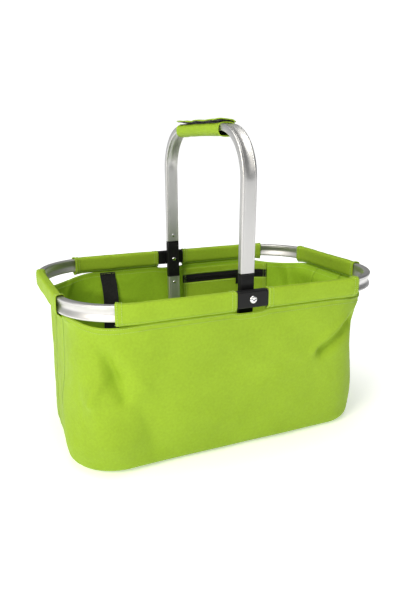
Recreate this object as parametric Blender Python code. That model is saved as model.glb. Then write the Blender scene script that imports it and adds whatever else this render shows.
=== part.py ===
"""Foldable shopping basket: aluminium rim and carrying loop with a fabric bag.
Metres, +Z up, +X along the length, origin on the floor at the centre of the base."""
import bpy
import bmesh
import math
from mathutils import Vector

# ---------------------------------------------------------------- dimensions
RIM_LENGTH = 0.460          # rim outside, along X
RIM_WIDTH = 0.300           # rim outside, along Y
RIM_CORNER = 0.090          # outside radius of the rim's bends
TUBE_TALL = 0.020           # wide side of the extrusion
TUBE_DEEP = 0.009           # narrow side of the extrusion
TUBE_WALL = 0.0012
GROOVE = 0.0026             # how far the wide faces sink where the tube is bent
PIVOT_Z = 0.223             # height of the rim's middle and of the pivot rivets
LEG_Y = 0.1305              # middle of the carrying loop's legs at the pivot
UPPER_REACH = 0.2122        # pivot to the outside of the handle's top bar
LOWER_REACH = 0.2178        # pivot to the outside of the lower arch's bar
UPPER_LEAN = 0.0150         # outward lean of the upper legs, radians
LOWER_LEAN = -0.061         # inward lean of the lower legs, radians
ARCH_BEND = 0.068           # outside radius of the arches' bends
LINK_HALF = 0.0297          # half the visible length of a hinge link
TONGUE = 0.020              # how far a link's tongue reaches into an arch
BRACKET_HALF = 0.0214       # half the visible length of a rim bracket
BRACKET_TALL = 0.022
BRACKET_DEEP = 0.011
SPIGOT = 0.024
RIVET_R = 0.0025
BAG_TOP = 0.2080            # height of the bag wall's top edge
BAG_WALL = 0.0010
BAG_ROLL = 0.004            # radius where the wall turns into the floor
SEAM_Y = 0.030              # where the end panels are sewn to the front and back
BOARD = 0.0030
LINING = 0.0009             # pocket lining's distance from the wall's inside
GAP = 0.0003
ZIP_Z = PIVOT_Z - 0.0410    # middle of the pocket's zip
ZIP_HALF = 0.0062
SLIDER_X = 0.1250           # slider at rest, pocket nearly closed
STRAP_X0, STRAP_X1 = -0.1215, -0.0970
STRAP_LONG = 0.110
GRIP_HALF = 0.0720          # half the grip's length

COLOURS = {
    "fabric": ((0.36, 0.56, 0.035, 1), 0.85, 0.0),
    "aluminium": ((0.78, 0.78, 0.79, 1), 0.35, 1.0),
    "black_plastic": ((0.018, 0.018, 0.02, 1), 0.5, 0.0),
    "webbing": ((0.012, 0.012, 0.014, 1), 0.9, 0.0),
    "rivet_steel": ((0.62, 0.62, 0.64, 1), 0.25, 1.0),
    "board": ((0.20, 0.20, 0.20, 1), 0.8, 0.0),
}


def material(slot):
    colour, rough, metal = COLOURS[slot]
    mat = bpy.data.materials.get(slot) or bpy.data.materials.new(slot)
    mat.use_nodes = True
    mat.diffuse_color = colour
    shader = mat.node_tree.nodes["Principled BSDF"]
    shader.inputs["Base Color"].default_value = colour
    shader.inputs["Roughness"].default_value = rough
    shader.inputs["Metallic"].default_value = metal
    return mat


def add_object(name, bm, slot, parent=None):
    bmesh.ops.remove_doubles(bm, verts=bm.verts, dist=1e-6)
    bmesh.ops.recalc_face_normals(bm, faces=bm.faces)
    if bm.calc_volume(signed=True) < 0:
        bmesh.ops.reverse_faces(bm, faces=bm.faces)
    mesh = bpy.data.meshes.new(name)
    bm.to_mesh(mesh)
    bm.free()
    obj = bpy.data.objects.new(name, mesh)
    bpy.context.scene.collection.objects.link(obj)
    mesh.materials.append(material(slot))
    if parent is not None:
        obj.parent = parent
        obj.matrix_parent_inverse = parent.matrix_world.inverted()
    return obj


def joint_empty(name, at, parent=None):
    empty = bpy.data.objects.new(name, None)
    empty.location = at
    bpy.context.scene.collection.objects.link(empty)
    bpy.context.view_layer.update()
    if parent is not None:
        empty.parent = parent
        empty.matrix_parent_inverse = parent.matrix_world.inverted()
        bpy.context.view_layer.update()
    return empty


def skin(bm, rings, closed):
    """Quads between successive rings of vertices."""
    n = len(rings[0])
    last = n if closed else n - 1
    for a, b in zip(rings, rings[1:]):
        for i in range(last):
            j = (i + 1) % n
            bm.faces.new((a[i], a[j], b[j], b[i]))


def place(bm, frame, section):
    """Section points (out, wide) set into a path frame (point, out, wide)."""
    p, out, wide = frame
    return [bm.verts.new(p + out * s + wide * w) for s, w in section]


def sweep_solid(bm, frames, sections):
    rings = [place(bm, f, s) for f, s in zip(frames, sections)]
    skin(bm, rings, True)
    bm.faces.new(rings[0])
    bm.faces.new(rings[-1])


def sweep_hollow(bm, frames, outer, inner):
    a = [place(bm, f, s) for f, s in zip(frames, outer)]
    b = [place(bm, f, s) for f, s in zip(frames, inner)]
    skin(bm, a, True)
    skin(bm, b, True)
    for k in (0, -1):
        skin(bm, [a[k], b[k]], True)


def tube_section(tall, deep, corner, sink=0.0):
    """Rounded flat profile; the two wide faces can sink toward each other."""
    h, d = tall / 2, deep / 2
    k = corner * 0.3
    flat = [(-0.55, 0.8), (0.0, 1.0), (0.55, 0.8)]
    pts = [(d - k, -h + k * 0.2), (d, -h + corner)]
    pts += [(d - sink * g, h * t) for t, g in flat]
    pts += [(d, h - corner), (d - k, h - k * 0.2)]
    pts += [(-d + k, h - k * 0.2), (-d, h - corner)]
    pts += [(-d + sink * g, -h * t) for t, g in flat]
    pts += [(-d, -h + corner), (-d + k, -h + k * 0.2)]
    return pts


def box(bm, lo, hi, bevel=0.0):
    lo, hi = Vector(lo), Vector(hi)
    made = bmesh.ops.create_cube(bm, size=1.0)["verts"]
    for v in made:
        v.co = Vector((lo[i] + (hi[i] - lo[i]) * (v.co[i] + 0.5) for i in range(3)))
    if bevel:
        edges = list({e for v in made for e in v.link_edges})
        bmesh.ops.bevel(bm, geom=edges, offset=bevel, segments=1, affect="EDGES")


def lathe_y(bm, profile, x, z, segments=32):
    """Closed solid of revolution about a line along Y: profile of (y, radius)."""
    rings = []
    for y, r in profile:
        rings.append([bm.verts.new((x + r * math.cos(t), y, z + r * math.sin(t)))
                      for t in [2 * math.pi * i / segments for i in range(segments)]])
    skin(bm, rings, True)
    bm.faces.new(rings[0])
    bm.faces.new(rings[-1])


def drill(obj, x, z, y0, y1, radius, segments=32):
    """Cuts a round hole along Y through obj."""
    bm = bmesh.new()
    lathe_y(bm, [(y0, radius), (y1, radius)], x, z, segments)
    cutter = add_object("cutter_" + obj.name, bm, "rivet_steel")
    cutter.hide_render = True
    cutter.display_type = "WIRE"
    mod = obj.modifiers.new("hole", "BOOLEAN")
    mod.operation = "DIFFERENCE"
    mod.solver = "EXACT"
    mod.object = cutter
    bpy.context.view_layer.update()
    graph = bpy.context.evaluated_depsgraph_get()
    mesh = bpy.data.meshes.new_from_object(obj.evaluated_get(graph))
    obj.modifiers.remove(mod)
    obj.data = mesh
    bpy.data.objects.remove(cutter, do_unlink=True)


# ---------------------------------------------------------------- plan outlines
CORNERS = {"fl": (-1, -1, 180), "fr": (1, -1, 270), "br": (1, 1, 0), "bl": (-1, 1, 90)}


def plan_point(key, a, b, c):
    """Point and outward direction on a rounded rectangle a x b (half sizes), radius c."""
    kind, v = key
    if kind == "front":
        return Vector((v * (a - c), -b, 0)), Vector((0, -1, 0))
    if kind == "back":
        return Vector((v * (a - c), b, 0)), Vector((0, 1, 0))
    if kind == "left":
        return Vector((-a, v, 0)), Vector((-1, 0, 0))
    if kind == "right":
        return Vector((a, v, 0)), Vector((1, 0, 0))
    sx, sy, start = CORNERS[kind]
    t = math.radians(start + v)
    out = Vector((math.cos(t), math.sin(t), 0))
    return Vector((sx * (a - c), sy * (b - c), 0)) + out * c, out


def spread(kind, v0, v1, n):
    return [(kind, v0 + (v1 - v0) * i / n) for i in range(n + 1)]


RA = RIM_LENGTH / 2 - TUBE_DEEP / 2
RB = RIM_WIDTH / 2 - TUBE_DEEP / 2
RC = RIM_CORNER - TUBE_DEEP / 2
UP = Vector((0, 0, 1))


def rim_frames(keys):
    frames = []
    for key in keys:
        p, out = plan_point(key, RA, RB, RC)
        frames.append((p + UP * PIVOT_Z, out, UP))
    return frames


def bend_sink(key):
    """The tube's faces sink over the bends and come flat again on the straights."""
    if key[0] in CORNERS:
        return GROOVE * min(1.0, min(key[1], 90 - key[1]) / 14.0)
    return 0.0


def rim_half(name, side):
    start = (BRACKET_HALF + GAP) / (RA - RC)
    if side < 0:
        keys = spread("back", -start, -1, 2) + spread("bl", 0, 90, 9)[1:]
        keys += spread("left", RB - RC, -(RB - RC), 2)[1:] + spread("fl", 0, 90, 9)[1:]
        keys += spread("front", -1, -start, 2)[1:]
    else:
        keys = spread("front", start, 1, 2) + spread("fr", 0, 90, 9)[1:]
        keys += spread("right", -(RB - RC), RB - RC, 2)[1:] + spread("br", 0, 90, 9)[1:]
        keys += spread("back", 1, start, 2)[1:]
    outer = [tube_section(TUBE_TALL, TUBE_DEEP, 0.002, bend_sink(k)) for k in keys]
    inner = [tube_section(TUBE_TALL - 2 * TUBE_WALL, TUBE_DEEP - 2 * TUBE_WALL, 0.0012,
                          bend_sink(k)) for k in keys]
    bm = bmesh.new()
    sweep_hollow(bm, rim_frames(keys), outer, inner)
    return add_object(name, bm, "aluminium")


# ---------------------------------------------------------------- rim
def sleeve_section(grow):
    """Fabric tunnel round the rim, pinched to a hem under the tube."""
    d, h = TUBE_DEEP / 2 + grow, TUBE_TALL / 2 + grow
    tail = -0.0133 - grow * 0.85
    right = [(0.0, tail), (0.0011 + grow * 0.5, tail + 0.0003), (d * 0.84, -h - 0.0001),
             (d, -h + 0.0024), (d * 1.03, 0.0), (d, h - 0.0022), (d * 0.84, h - 0.0002)]
    left = [(-s, w) for s, w in reversed(right[1:])]
    return right + [(0.0, h + 0.0002)] + left


def rim_sleeve(name, keys):
    frames = rim_frames(keys)
    bm = bmesh.new()
    outer = [sleeve_section(0.0014)] * len(frames)
    inner = [sleeve_section(0.0005)] * len(frames)
    sweep_hollow(bm, frames, outer, inner)
    return add_object(name, bm, "fabric")


def rim_bracket(name, side):
    """Black connector between the two rim halves, with a spigot into each."""
    y = side * RB
    tall, deep = BRACKET_TALL, BRACKET_DEEP
    big = tube_section(tall, deep, 0.002)
    small = tube_section(TUBE_TALL - 2 * TUBE_WALL - 0.0005, TUBE_DEEP - 2 * TUBE_WALL - 0.0005,
                         0.0012)
    tip = [(s * 0.85, w * 0.92) for s, w in small]
    ends = BRACKET_HALF + SPIGOT
    xs = [-ends, -ends + 0.002, -BRACKET_HALF, -BRACKET_HALF, BRACKET_HALF, BRACKET_HALF,
          ends - 0.002, ends]
    secs = [tip, small, small, big, big, small, small, tip]
    frames = [(Vector((x, y, PIVOT_Z)), Vector((0, side, 0)), UP) for x in xs]
    bm = bmesh.new()
    sweep_solid(bm, frames, secs)
    obj = add_object(name, bm, "black_plastic")
    drill(obj, 0.0, PIVOT_Z, side * 0.130, side * 0.160, RIVET_R + 0.0002)
    return obj


def pivot_rivet(name, side):
    """Domed head outside the bracket, shank through bracket and link, small head inside."""
    prof = [(0.1234, 0.0010), (0.1238, 0.0026), (0.1256, 0.0034), (0.1256, RIVET_R),
            (0.1513, RIVET_R), (0.1513, 0.0050), (0.1524, 0.0047), (0.1531, 0.0032),
            (0.1533, 0.0010)]
    bm = bmesh.new()
    lathe_y(bm, [(side * y, r) for y, r in prof], 0.0, PIVOT_Z)
    return add_object(name, bm, "rivet_steel")


def pivot_spacer(name, side):
    bm = bmesh.new()
    n = 32
    rings = []
    for y, r in ((0.1354, 0.0027), (0.1354, 0.0068), (0.1396, 0.0068), (0.1396, 0.0027)):
        rings.append([bm.verts.new((r * math.cos(t), side * y, PIVOT_Z + r * math.sin(t)))
                      for t in [2 * math.pi * i / n for i in range(n)]])
    skin(bm, rings + [rings[0]], True)
    return add_object(name, bm, "black_plastic")


# ---------------------------------------------------------------- carrying loop
def leg_y(z, lean):
    return LEG_Y + math.tan(lean) * abs(z)


def arch_frames(reach, lean, up, start):
    """Frames of an arch's middle line from the front leg over to the back leg."""
    r = ARCH_BEND - TUBE_DEEP / 2
    h = reach - TUBE_DEEP / 2
    t = (h - r - r * math.sin(lean)) / math.cos(lean)
    yc = LEG_Y + t * math.sin(lean) - r * math.cos(lean)
    zc = h - r
    half = []
    t0 = start / math.cos(lean)
    for k in (0.0, 0.45, 0.88):
        s = t0 + (t - t0) * k
        half.append((LEG_Y + s * math.sin(lean), s * math.cos(lean), -lean, 0.0))
    n = 9
    for i in range(n + 1):
        ang = -lean + (math.pi / 2 + lean) * i / n
        sink = GROOVE * min(1.0, min(i, n - i) / 1.5)
        half.append((yc + r * math.cos(ang), zc + r * math.sin(ang), ang, sink))
    frames, sinks = [], []
    for side, pts in ((-1, half), (1, half[::-1])):
        for y, z, ang, sink in pts:
            p = Vector((0, side * y, PIVOT_Z + up * z))
            out = Vector((0, side * math.cos(ang), up * math.sin(ang)))
            frames.append((p, out, Vector((1, 0, 0))))
            sinks.append(sink)
    return frames, sinks, yc


def arch(name, reach, lean, up, parent):
    frames, sinks, _ = arch_frames(reach, lean, up, LINK_HALF + GAP)
    outer = [tube_section(TUBE_TALL, TUBE_DEEP, 0.002, s) for s in sinks]
    inner = [tube_section(TUBE_TALL - 2 * TUBE_WALL, TUBE_DEEP - 2 * TUBE_WALL, 0.0012, s)
             for s in sinks]
    bm = bmesh.new()
    sweep_hollow(bm, frames, outer, inner)
    return add_object(name, bm, "aluminium", parent)


def hinge_link(name, side, parent):
    big = tube_section(TUBE_TALL, TUBE_DEEP, 0.002)
    small = tube_section(TUBE_TALL - 2 * TUBE_WALL - 0.0005, TUBE_DEEP - 2 * TUBE_WALL - 0.0005,
                         0.0012)
    tip = [(s * 0.8, w * 0.9) for s, w in small]
    end = LINK_HALF + TONGUE
    zs = [(-end, tip), (-end + 0.002, small), (-LINK_HALF, small), (-LINK_HALF, big), (0.0, big),
          (LINK_HALF, big), (LINK_HALF, small), (end - 0.002, small), (end, tip)]
    frames = []
    for z, _ in zs:
        lean = UPPER_LEAN if z > 0 else LOWER_LEAN
        p = Vector((0, side * leg_y(z, lean), PIVOT_Z + z))
        frames.append((p, Vector((0, side, 0)), Vector((1, 0, 0))))
    bm = bmesh.new()
    sweep_solid(bm, frames, [s for _, s in zs])
    obj = add_object(name, bm, "black_plastic", parent)
    drill(obj, 0.0, PIVOT_Z, side * 0.120, side * 0.139, RIVET_R + 0.00008)
    return obj


LINK_RIVETS = (("upper", 0.0396, UPPER_LEAN), ("lower", -0.0396, LOWER_LEAN))


def link_rivet(name, side, z, lean, parent):
    """Small rivet through the arch's inner wall into the link's tongue."""
    face = leg_y(z, lean) - TUBE_DEEP / 2
    prof = [(face - 0.0012, 0.0010), (face - 0.0009, 0.0021), (face - 0.0002, 0.0026),
            (face - 0.0002, 0.0014), (face + 0.0040, 0.0014)]
    bm = bmesh.new()
    lathe_y(bm, [(side * y, r) for y, r in prof], 0.0, PIVOT_Z + z, 20)
    return add_object(name, bm, "rivet_steel", parent)


def wrap_section(wide, under, over, corner):
    """Loose tunnel round the top bar, hanging lower under it than over it."""
    deep = under + over
    mid = (over - under) / 2
    return [(mid + d, w) for d, w in tube_section(wide, deep, corner)]


def grip_wrap(parent):
    top = PIVOT_Z + UPPER_REACH - TUBE_DEEP / 2
    ys = [-GRIP_HALF, -0.0660, -0.0330, 0.0, 0.0330, 0.0660, GRIP_HALF]
    fr = [(Vector((0, y, top)), Vector((0, 0, 1)), Vector((1, 0, 0))) for y in ys]
    outer = wrap_section(0.0252, 0.0108, 0.0061, 0.0060)
    inner = wrap_section(0.0228, 0.0096, 0.0050, 0.0035)
    bm = bmesh.new()
    sweep_hollow(bm, fr, [outer] * len(fr), [inner] * len(fr))
    return add_object("grip_wrap", bm, "fabric", parent)


def arched_plate(bm, x0, x1, y0, y1, z0, thick, rise, n=6):
    """Thin plate along Y, gently arched across X."""
    lower, upper = [], []
    for i in range(n + 1):
        x = x0 + (x1 - x0) * i / n
        z = z0 + rise * (1 - (2 * i / n - 1) ** 2)
        lower.append((x, z))
        upper.append((x, z + thick))
    loop = lower + upper[::-1]
    rings = [[bm.verts.new((x, y, z)) for x, z in loop] for y in (y0, y1)]
    skin(bm, rings, True)
    m = len(loop)
    for ring in rings:
        for i in range(n):
            bm.faces.new((ring[i], ring[i + 1], ring[m - 2 - i], ring[m - 1 - i]))


# ---------------------------------------------------------------- bag
def bag_size(z):
    """Half length, half width and corner radius of the bag's outside at height z."""
    s = (BAG_TOP - z) / BAG_TOP
    near = max(0.0, 1 - (BAG_TOP - z) / 0.018)
    a = 0.2152 + 0.0018 * math.sin(math.pi * min(z / 0.19, 1.0)) + 0.0100 * near ** 2
    b = 0.1460 - 0.0290 * s ** 1.5 if s > 0 else 0.1460
    c = 0.0880 - 0.0260 * max(s, 0.0) ** 1.5
    return a, b, c


def bag_point(key, z, inset):
    a, b, c = bag_size(z)
    p, _ = plan_point(key, a - inset, b - inset, max(c - inset, 0.01))
    p.z = z
    return p


def top_edge(key):
    """The free edge dips a little under the rim's bends and under the brackets."""
    if key[0] in CORNERS:
        return BAG_TOP - 0.0060 * math.sin(math.radians(2 * key[1])) ** 2
    if key[0] in ("front", "back"):
        return BAG_TOP - 0.0028 * max(0.0, 1 - (key[1] / 0.2) ** 4)
    return BAG_TOP


WALL_LEVELS = (0.0, 0.03, 0.065, 0.10, 0.3, 0.53, 0.76, 1.0)


def bag_panel(name, keys):
    outer, inner = [], []
    for key in keys:
        top = top_edge(key)
        a, b = [], []
        for f in WALL_LEVELS:
            z = top + (BAG_ROLL - top) * f
            a.append(bag_point(key, z, 0.0))
            b.append(bag_point(key, z, BAG_WALL))
        for i in range(1, 4):
            t = math.radians(30 * i)
            r, q = BAG_ROLL, BAG_ROLL - BAG_WALL
            pa = bag_point(key, r * (1 - math.sin(t)), r * (1 - math.cos(t)))
            pb = bag_point(key, r - q * math.sin(t), r - q * math.cos(t))
            a.append(pa)
            b.append(pb)
        outer.append(a)
        inner.append(b)
    bm = bmesh.new()
    va = [[bm.verts.new(p) for p in row] for row in outer]
    vb = [[bm.verts.new(p) for p in row] for row in inner]
    skin(bm, va, False)
    skin(bm, vb, False)
    skin(bm, [[r[0] for r in va], [r[0] for r in vb]], False)
    skin(bm, [[r[-1] for r in va], [r[-1] for r in vb]], False)
    for k in (0, -1):
        skin(bm, [va[k], vb[k]], False)
    return add_object(name, bm, "fabric")


def outline_plate(name, z0, z1, inset, slot):
    a, b, c = bag_size(0.0)
    a, b, c = a - inset, b - inset, max(c - inset, 0.01)
    keys = (spread("front", -1, 1, 1) + spread("fr", 0, 90, 8)[1:]
            + spread("br", 0, 90, 8) + spread("back", 1, -1, 1)[1:] + spread("bl", 0, 90, 8)[1:]
            + spread("fl", 0, 90, 8)[:-1])
    bm = bmesh.new()
    rings = []
    for z in (z0, z1):
        rings.append([bm.verts.new(plan_point(k, a, b, c)[0] + UP * z) for k in keys])
    skin(bm, rings, True)
    bm.faces.new(rings[0])
    bm.faces.new(rings[1])
    return add_object(name, bm, slot)


def back_keys(x0, x1, n):
    """Keys for points on the back wall's inside between two x positions."""
    a, b, c = bag_size(0.18)
    keys = []
    for i in range(n + 1):
        x = x0 + (x1 - x0) * i / n
        if abs(x) <= a - c:
            keys.append(("back", x / (a - c)))
        elif x > 0:
            keys.append(("br", 90 - math.degrees(math.asin((x - a + c) / c))))
        else:
            keys.append(("bl", math.degrees(math.asin((-x - a + c) / c))))
    return keys


def lining_strip(name, slot, x0, x1, z0, z1, near, far, n=12, levels=2):
    """Thin layer standing just inside the back wall; near and far are insets."""
    keys = back_keys(x0, x1, n)
    zs = [z0 + (z1 - z0) * i / levels for i in range(levels + 1)]
    bm = bmesh.new()
    va = [[bm.verts.new(bag_point(k, z, near)) for z in zs] for k in keys]
    vb = [[bm.verts.new(bag_point(k, z, far)) for z in zs] for k in keys]
    skin(bm, va, False)
    skin(bm, vb, False)
    skin(bm, [[r[0] for r in va], [r[0] for r in vb]], False)
    skin(bm, [[r[-1] for r in va], [r[-1] for r in vb]], False)
    for k in (0, -1):
        skin(bm, [va[k], vb[k]], False)
    return add_object(name, bm, slot)


def zip_slider(parent, y):
    """Body with a bridge: two posts and a bar along X that the puller hangs on."""
    bm = bmesh.new()
    yf = y - 0.0022
    box(bm, (SLIDER_X - 0.0045, yf, ZIP_Z - 0.0042), (SLIDER_X + 0.0045, y, ZIP_Z + 0.0042), 0.0005)
    body = add_object("zipper_slider", bm, "black_plastic", parent)
    for x in (-0.0032, 0.0032):
        bm = bmesh.new()
        box(bm, (SLIDER_X + x - 0.0006, yf - 0.0022, ZIP_Z - 0.0010),
            (SLIDER_X + x + 0.0006, yf + 0.0006, ZIP_Z + 0.0010))
        weld(body, add_object("post", bm, "black_plastic"))
    bm = bmesh.new()
    bar_x(bm, SLIDER_X - 0.0034, SLIDER_X + 0.0034, yf - 0.0014, ZIP_Z, 0.0006, 16)
    weld(body, add_object("bar", bm, "black_plastic"))
    return body


def bar_x(bm, x0, x1, y, z, r, n):
    rings = [[bm.verts.new((x, y + r * math.cos(t), z + r * math.sin(t)))
              for t in [2 * math.pi * i / n for i in range(n)]] for x in (x0, x1)]
    skin(bm, rings, True)
    bm.faces.new(rings[0])
    bm.faces.new(rings[1])


def weld(obj, other, how="UNION"):
    mod = obj.modifiers.new("weld", "BOOLEAN")
    mod.operation = how
    mod.solver = "EXACT"
    mod.object = other
    bpy.context.view_layer.update()
    graph = bpy.context.evaluated_depsgraph_get()
    mesh = bpy.data.meshes.new_from_object(obj.evaluated_get(graph))
    obj.modifiers.remove(mod)
    obj.data = mesh
    bpy.data.objects.remove(other, do_unlink=True)


def zip_puller(parent, y):
    """Knuckle round the slider's bar and a flat tab hanging from it."""
    yb = y - 0.0022 - 0.0014
    bm = bmesh.new()
    bar_x(bm, SLIDER_X - 0.0022, SLIDER_X + 0.0022, yb, ZIP_Z, 0.0012, 20)
    obj = add_object("zipper_puller", bm, "black_plastic", parent)
    bm = bmesh.new()
    box(bm, (SLIDER_X - 0.0022, yb - 0.0006, ZIP_Z - 0.0170),
        (SLIDER_X + 0.0022, yb + 0.0004, ZIP_Z - 0.0008))
    weld(obj, add_object("tab", bm, "black_plastic"))
    bm = bmesh.new()
    bar_x(bm, SLIDER_X - 0.004, SLIDER_X + 0.004, yb, ZIP_Z, 0.0007, 20)
    weld(obj, add_object("bore", bm, "black_plastic"), "DIFFERENCE")
    return obj


def wall_strap(parent):
    """Webbing sewn on at the top of the back wall, hanging down its inside."""
    z0, z1 = BAG_TOP - 0.002, BAG_TOP - 0.002 - STRAP_LONG
    bm = bmesh.new()
    rows = []
    n = 6
    for i in range(n + 1):
        z = z0 + (z1 - z0) * i / n
        y = bag_size(z0)[1] + (bag_size(z1)[1] - bag_size(z0)[1]) * i / n - BAG_WALL - 0.0010
        rows.append((y, z))
    loop = [(y, z) for y, z in rows] + [(y - 0.0016, z) for y, z in reversed(rows)]
    rings = [[bm.verts.new((x, y, z)) for y, z in loop] for x in (STRAP_X0, STRAP_X1)]
    skin(bm, rings, True)
    m = len(loop)
    for ring in rings:
        for i in range(n):
            bm.faces.new((ring[i], ring[i + 1], ring[m - 2 - i], ring[m - 1 - i]))
    return add_object("closing_strap", bm, "webbing", parent)


# ---------------------------------------------------------------- build
def main():
    for obj in list(bpy.data.objects):
        bpy.data.objects.remove(obj, do_unlink=True)

    rim_half("rim_left", -1)
    rim_half("rim_right", 1)
    for side, word in ((-1, "front"), (1, "back")):
        rim_bracket("rim_bracket_" + word, side)
        pivot_rivet("pivot_rivet_" + word, side)
        pivot_spacer("pivot_spacer_" + word, side)

    near = (BRACKET_HALF + 0.0008) / (RA - RC)
    long_bend, short_bend = 22.5, 16.0
    rim_sleeve("sleeve_front_left", spread("fl", 90 - long_bend, 90, 3)
               + spread("front", -1, -near, 3)[1:])
    rim_sleeve("sleeve_front_right", spread("front", near, 1, 3)
               + spread("fr", 0, short_bend, 3)[1:])
    rim_sleeve("sleeve_back_right", spread("br", 90 - long_bend, 90, 3)
               + spread("back", 1, near, 3)[1:])
    rim_sleeve("sleeve_back_left", spread("back", -near, -1, 3)
               + spread("bl", 0, short_bend, 3)[1:])
    half = RB - RC
    rim_sleeve("sleeve_left_end", spread("bl", 78, 90, 2) + spread("left", half, -half, 3)[1:]
               + spread("fl", 0, 12, 2)[1:])
    rim_sleeve("sleeve_right_end", spread("fr", 86, 90, 1) + spread("right", -half, half, 3)[1:]
               + spread("br", 0, 18, 2)[1:])

    loop = joint_empty("loop_pivot", (0, 0, PIVOT_Z))
    upper = arch("handle_arch", UPPER_REACH, UPPER_LEAN, 1, loop)
    lower = arch("lower_arch", LOWER_REACH, LOWER_LEAN, -1, loop)
    for side, word in ((-1, "front"), (1, "back")):
        link = hinge_link("hinge_link_" + word, side, loop)
        for place_word, z, lean in LINK_RIVETS:
            face = leg_y(z, lean) - TUBE_DEEP / 2
            metal = upper if z > 0 else lower
            drill(metal, 0.0, PIVOT_Z + z, side * (face - 0.002), side * (face + 0.0042), 0.0016, 20)
            drill(link, 0.0, PIVOT_Z + z, side * (face - 0.002), side * (face + 0.0042), 0.0016, 20)
            link_rivet("link_rivet_%s_%s" % (word, place_word), side, z, lean, loop)
    grip_wrap(loop)

    top = PIVOT_Z + UPPER_REACH + 0.0016
    bm = bmesh.new()
    arched_plate(bm, -0.0090, 0.0090, -0.0680, 0.0680, top + GAP, 0.0007, 0.0)
    add_object("grip_hook_strip", bm, "webbing", loop)
    flap = joint_empty("flap_pivot", (0.0122, 0, top + 0.0016), loop)
    bm = bmesh.new()
    arched_plate(bm, -0.0112, 0.0112, -0.0700, 0.0700, top + 0.0013, 0.0007, 0.0005)
    add_object("grip_flap_lining", bm, "webbing", flap)
    bm = bmesh.new()
    arched_plate(bm, -0.0120, 0.0120, -GRIP_HALF, GRIP_HALF, top + 0.0023, 0.0010, 0.0006)
    add_object("grip_flap", bm, "fabric", flap)

    seam_gap = GAP / 2
    steps = (-0.8, -0.5, -0.22, -0.17, 0.0, 0.17, 0.22, 0.5, 0.8, 1.0)
    front = [("left", -(SEAM_Y + seam_gap))] + spread("fl", 0, 90, 8) + [("front", f) for f in steps]
    front += spread("fr", 0, 90, 8)[1:] + [("right", -(SEAM_Y + seam_gap))]
    back = [("right", SEAM_Y + seam_gap)] + spread("br", 0, 90, 8) + [("back", -f) for f in steps]
    back += spread("bl", 0, 90, 8)[1:] + [("left", SEAM_Y + seam_gap)]
    bag_panel("bag_front_panel", front)
    bag_panel("bag_back_panel", back)
    bag_panel("bag_left_end_panel", spread("left", SEAM_Y - seam_gap, -(SEAM_Y - seam_gap), 2))
    bag_panel("bag_right_end_panel", spread("right", -(SEAM_Y - seam_gap), SEAM_Y - seam_gap, 2))
    outline_plate("bag_floor_panel", 0.0, BAG_WALL, BAG_ROLL + GAP, "fabric")
    outline_plate("base_board", BAG_WALL + GAP, BAG_WALL + GAP + BOARD, BAG_ROLL + 0.004, "board")

    lining_strip("pocket_upper_panel", "fabric", 0.0230, 0.1810, ZIP_Z + ZIP_HALF + GAP,
                 BAG_TOP - 0.004, BAG_WALL + LINING, BAG_WALL + LINING + 0.0007)
    lining_strip("pocket_lower_panel", "fabric", 0.0230, 0.1810, ZIP_Z - 0.0900,
                 ZIP_Z - ZIP_HALF - GAP, BAG_WALL + LINING, BAG_WALL + LINING + 0.0007, 12, 4)
    lining_strip("zipper_tape", "webbing", 0.0230, 0.1810, ZIP_Z - ZIP_HALF, ZIP_Z + ZIP_HALF,
                 BAG_WALL + LINING, BAG_WALL + LINING + 0.0007, 12, 1)
    lining_strip("zipper_chain", "black_plastic", 0.0250, 0.1790, ZIP_Z - 0.0020, ZIP_Z + 0.0020,
                 BAG_WALL + LINING + 0.0010, BAG_WALL + LINING + 0.0019, 12, 1)
    y = bag_size(ZIP_Z)[1] - BAG_WALL - LINING - 0.0024
    slide = joint_empty("slider_rest", (SLIDER_X, y, ZIP_Z))
    zip_slider(slide, y)
    tab = joint_empty("puller_pivot", (SLIDER_X, y - 0.0036, ZIP_Z), slide)
    zip_puller(tab, y)
    z0 = BAG_TOP - 0.002
    hang = joint_empty("strap_pivot", ((STRAP_X0 + STRAP_X1) / 2, bag_size(z0)[1] - 0.0022, z0))
    wall_strap(hang)


main()
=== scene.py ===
# Foldable shopping basket, piece by piece in the order it is put together: the rim, the
# carrying loop with its grip, then the sewn bag with its sleeves, pocket and strap.
import math
import bpy
import bmesh
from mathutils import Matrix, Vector, noise


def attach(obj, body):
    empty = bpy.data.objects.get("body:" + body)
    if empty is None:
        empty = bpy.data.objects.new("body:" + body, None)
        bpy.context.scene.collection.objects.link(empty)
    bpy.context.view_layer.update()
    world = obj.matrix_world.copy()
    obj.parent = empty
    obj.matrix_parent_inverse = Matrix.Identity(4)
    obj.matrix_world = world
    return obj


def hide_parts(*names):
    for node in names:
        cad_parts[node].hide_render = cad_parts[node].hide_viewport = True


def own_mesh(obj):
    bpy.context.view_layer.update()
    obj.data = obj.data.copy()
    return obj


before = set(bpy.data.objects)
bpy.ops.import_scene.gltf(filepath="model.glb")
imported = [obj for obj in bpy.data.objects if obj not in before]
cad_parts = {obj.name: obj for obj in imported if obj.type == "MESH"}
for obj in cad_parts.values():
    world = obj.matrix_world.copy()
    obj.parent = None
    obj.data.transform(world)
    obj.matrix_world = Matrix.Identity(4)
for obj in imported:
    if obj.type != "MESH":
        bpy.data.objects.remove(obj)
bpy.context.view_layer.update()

# ------------------------------------------------------------------ camera
# A moderate wide angle, 0.41 m up and 0.85 m from the basket's middle. It looks at the
# front from the left, so the left end, the front and the inside of the back all show.
camera_data = bpy.data.cameras.new("camera")
camera_data.lens = 33.94
camera_data.shift_x = -0.00612
camera_data.shift_y = -0.00762
camera = bpy.data.objects.new("camera", camera_data)
camera.location = (-0.3315, -0.7478, 0.4133)
looking_at = Vector((0.0, 0.0, 0.1899))
camera.rotation_euler = (looking_at - camera.location).to_track_quat("-Z", "Y").to_euler()
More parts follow.
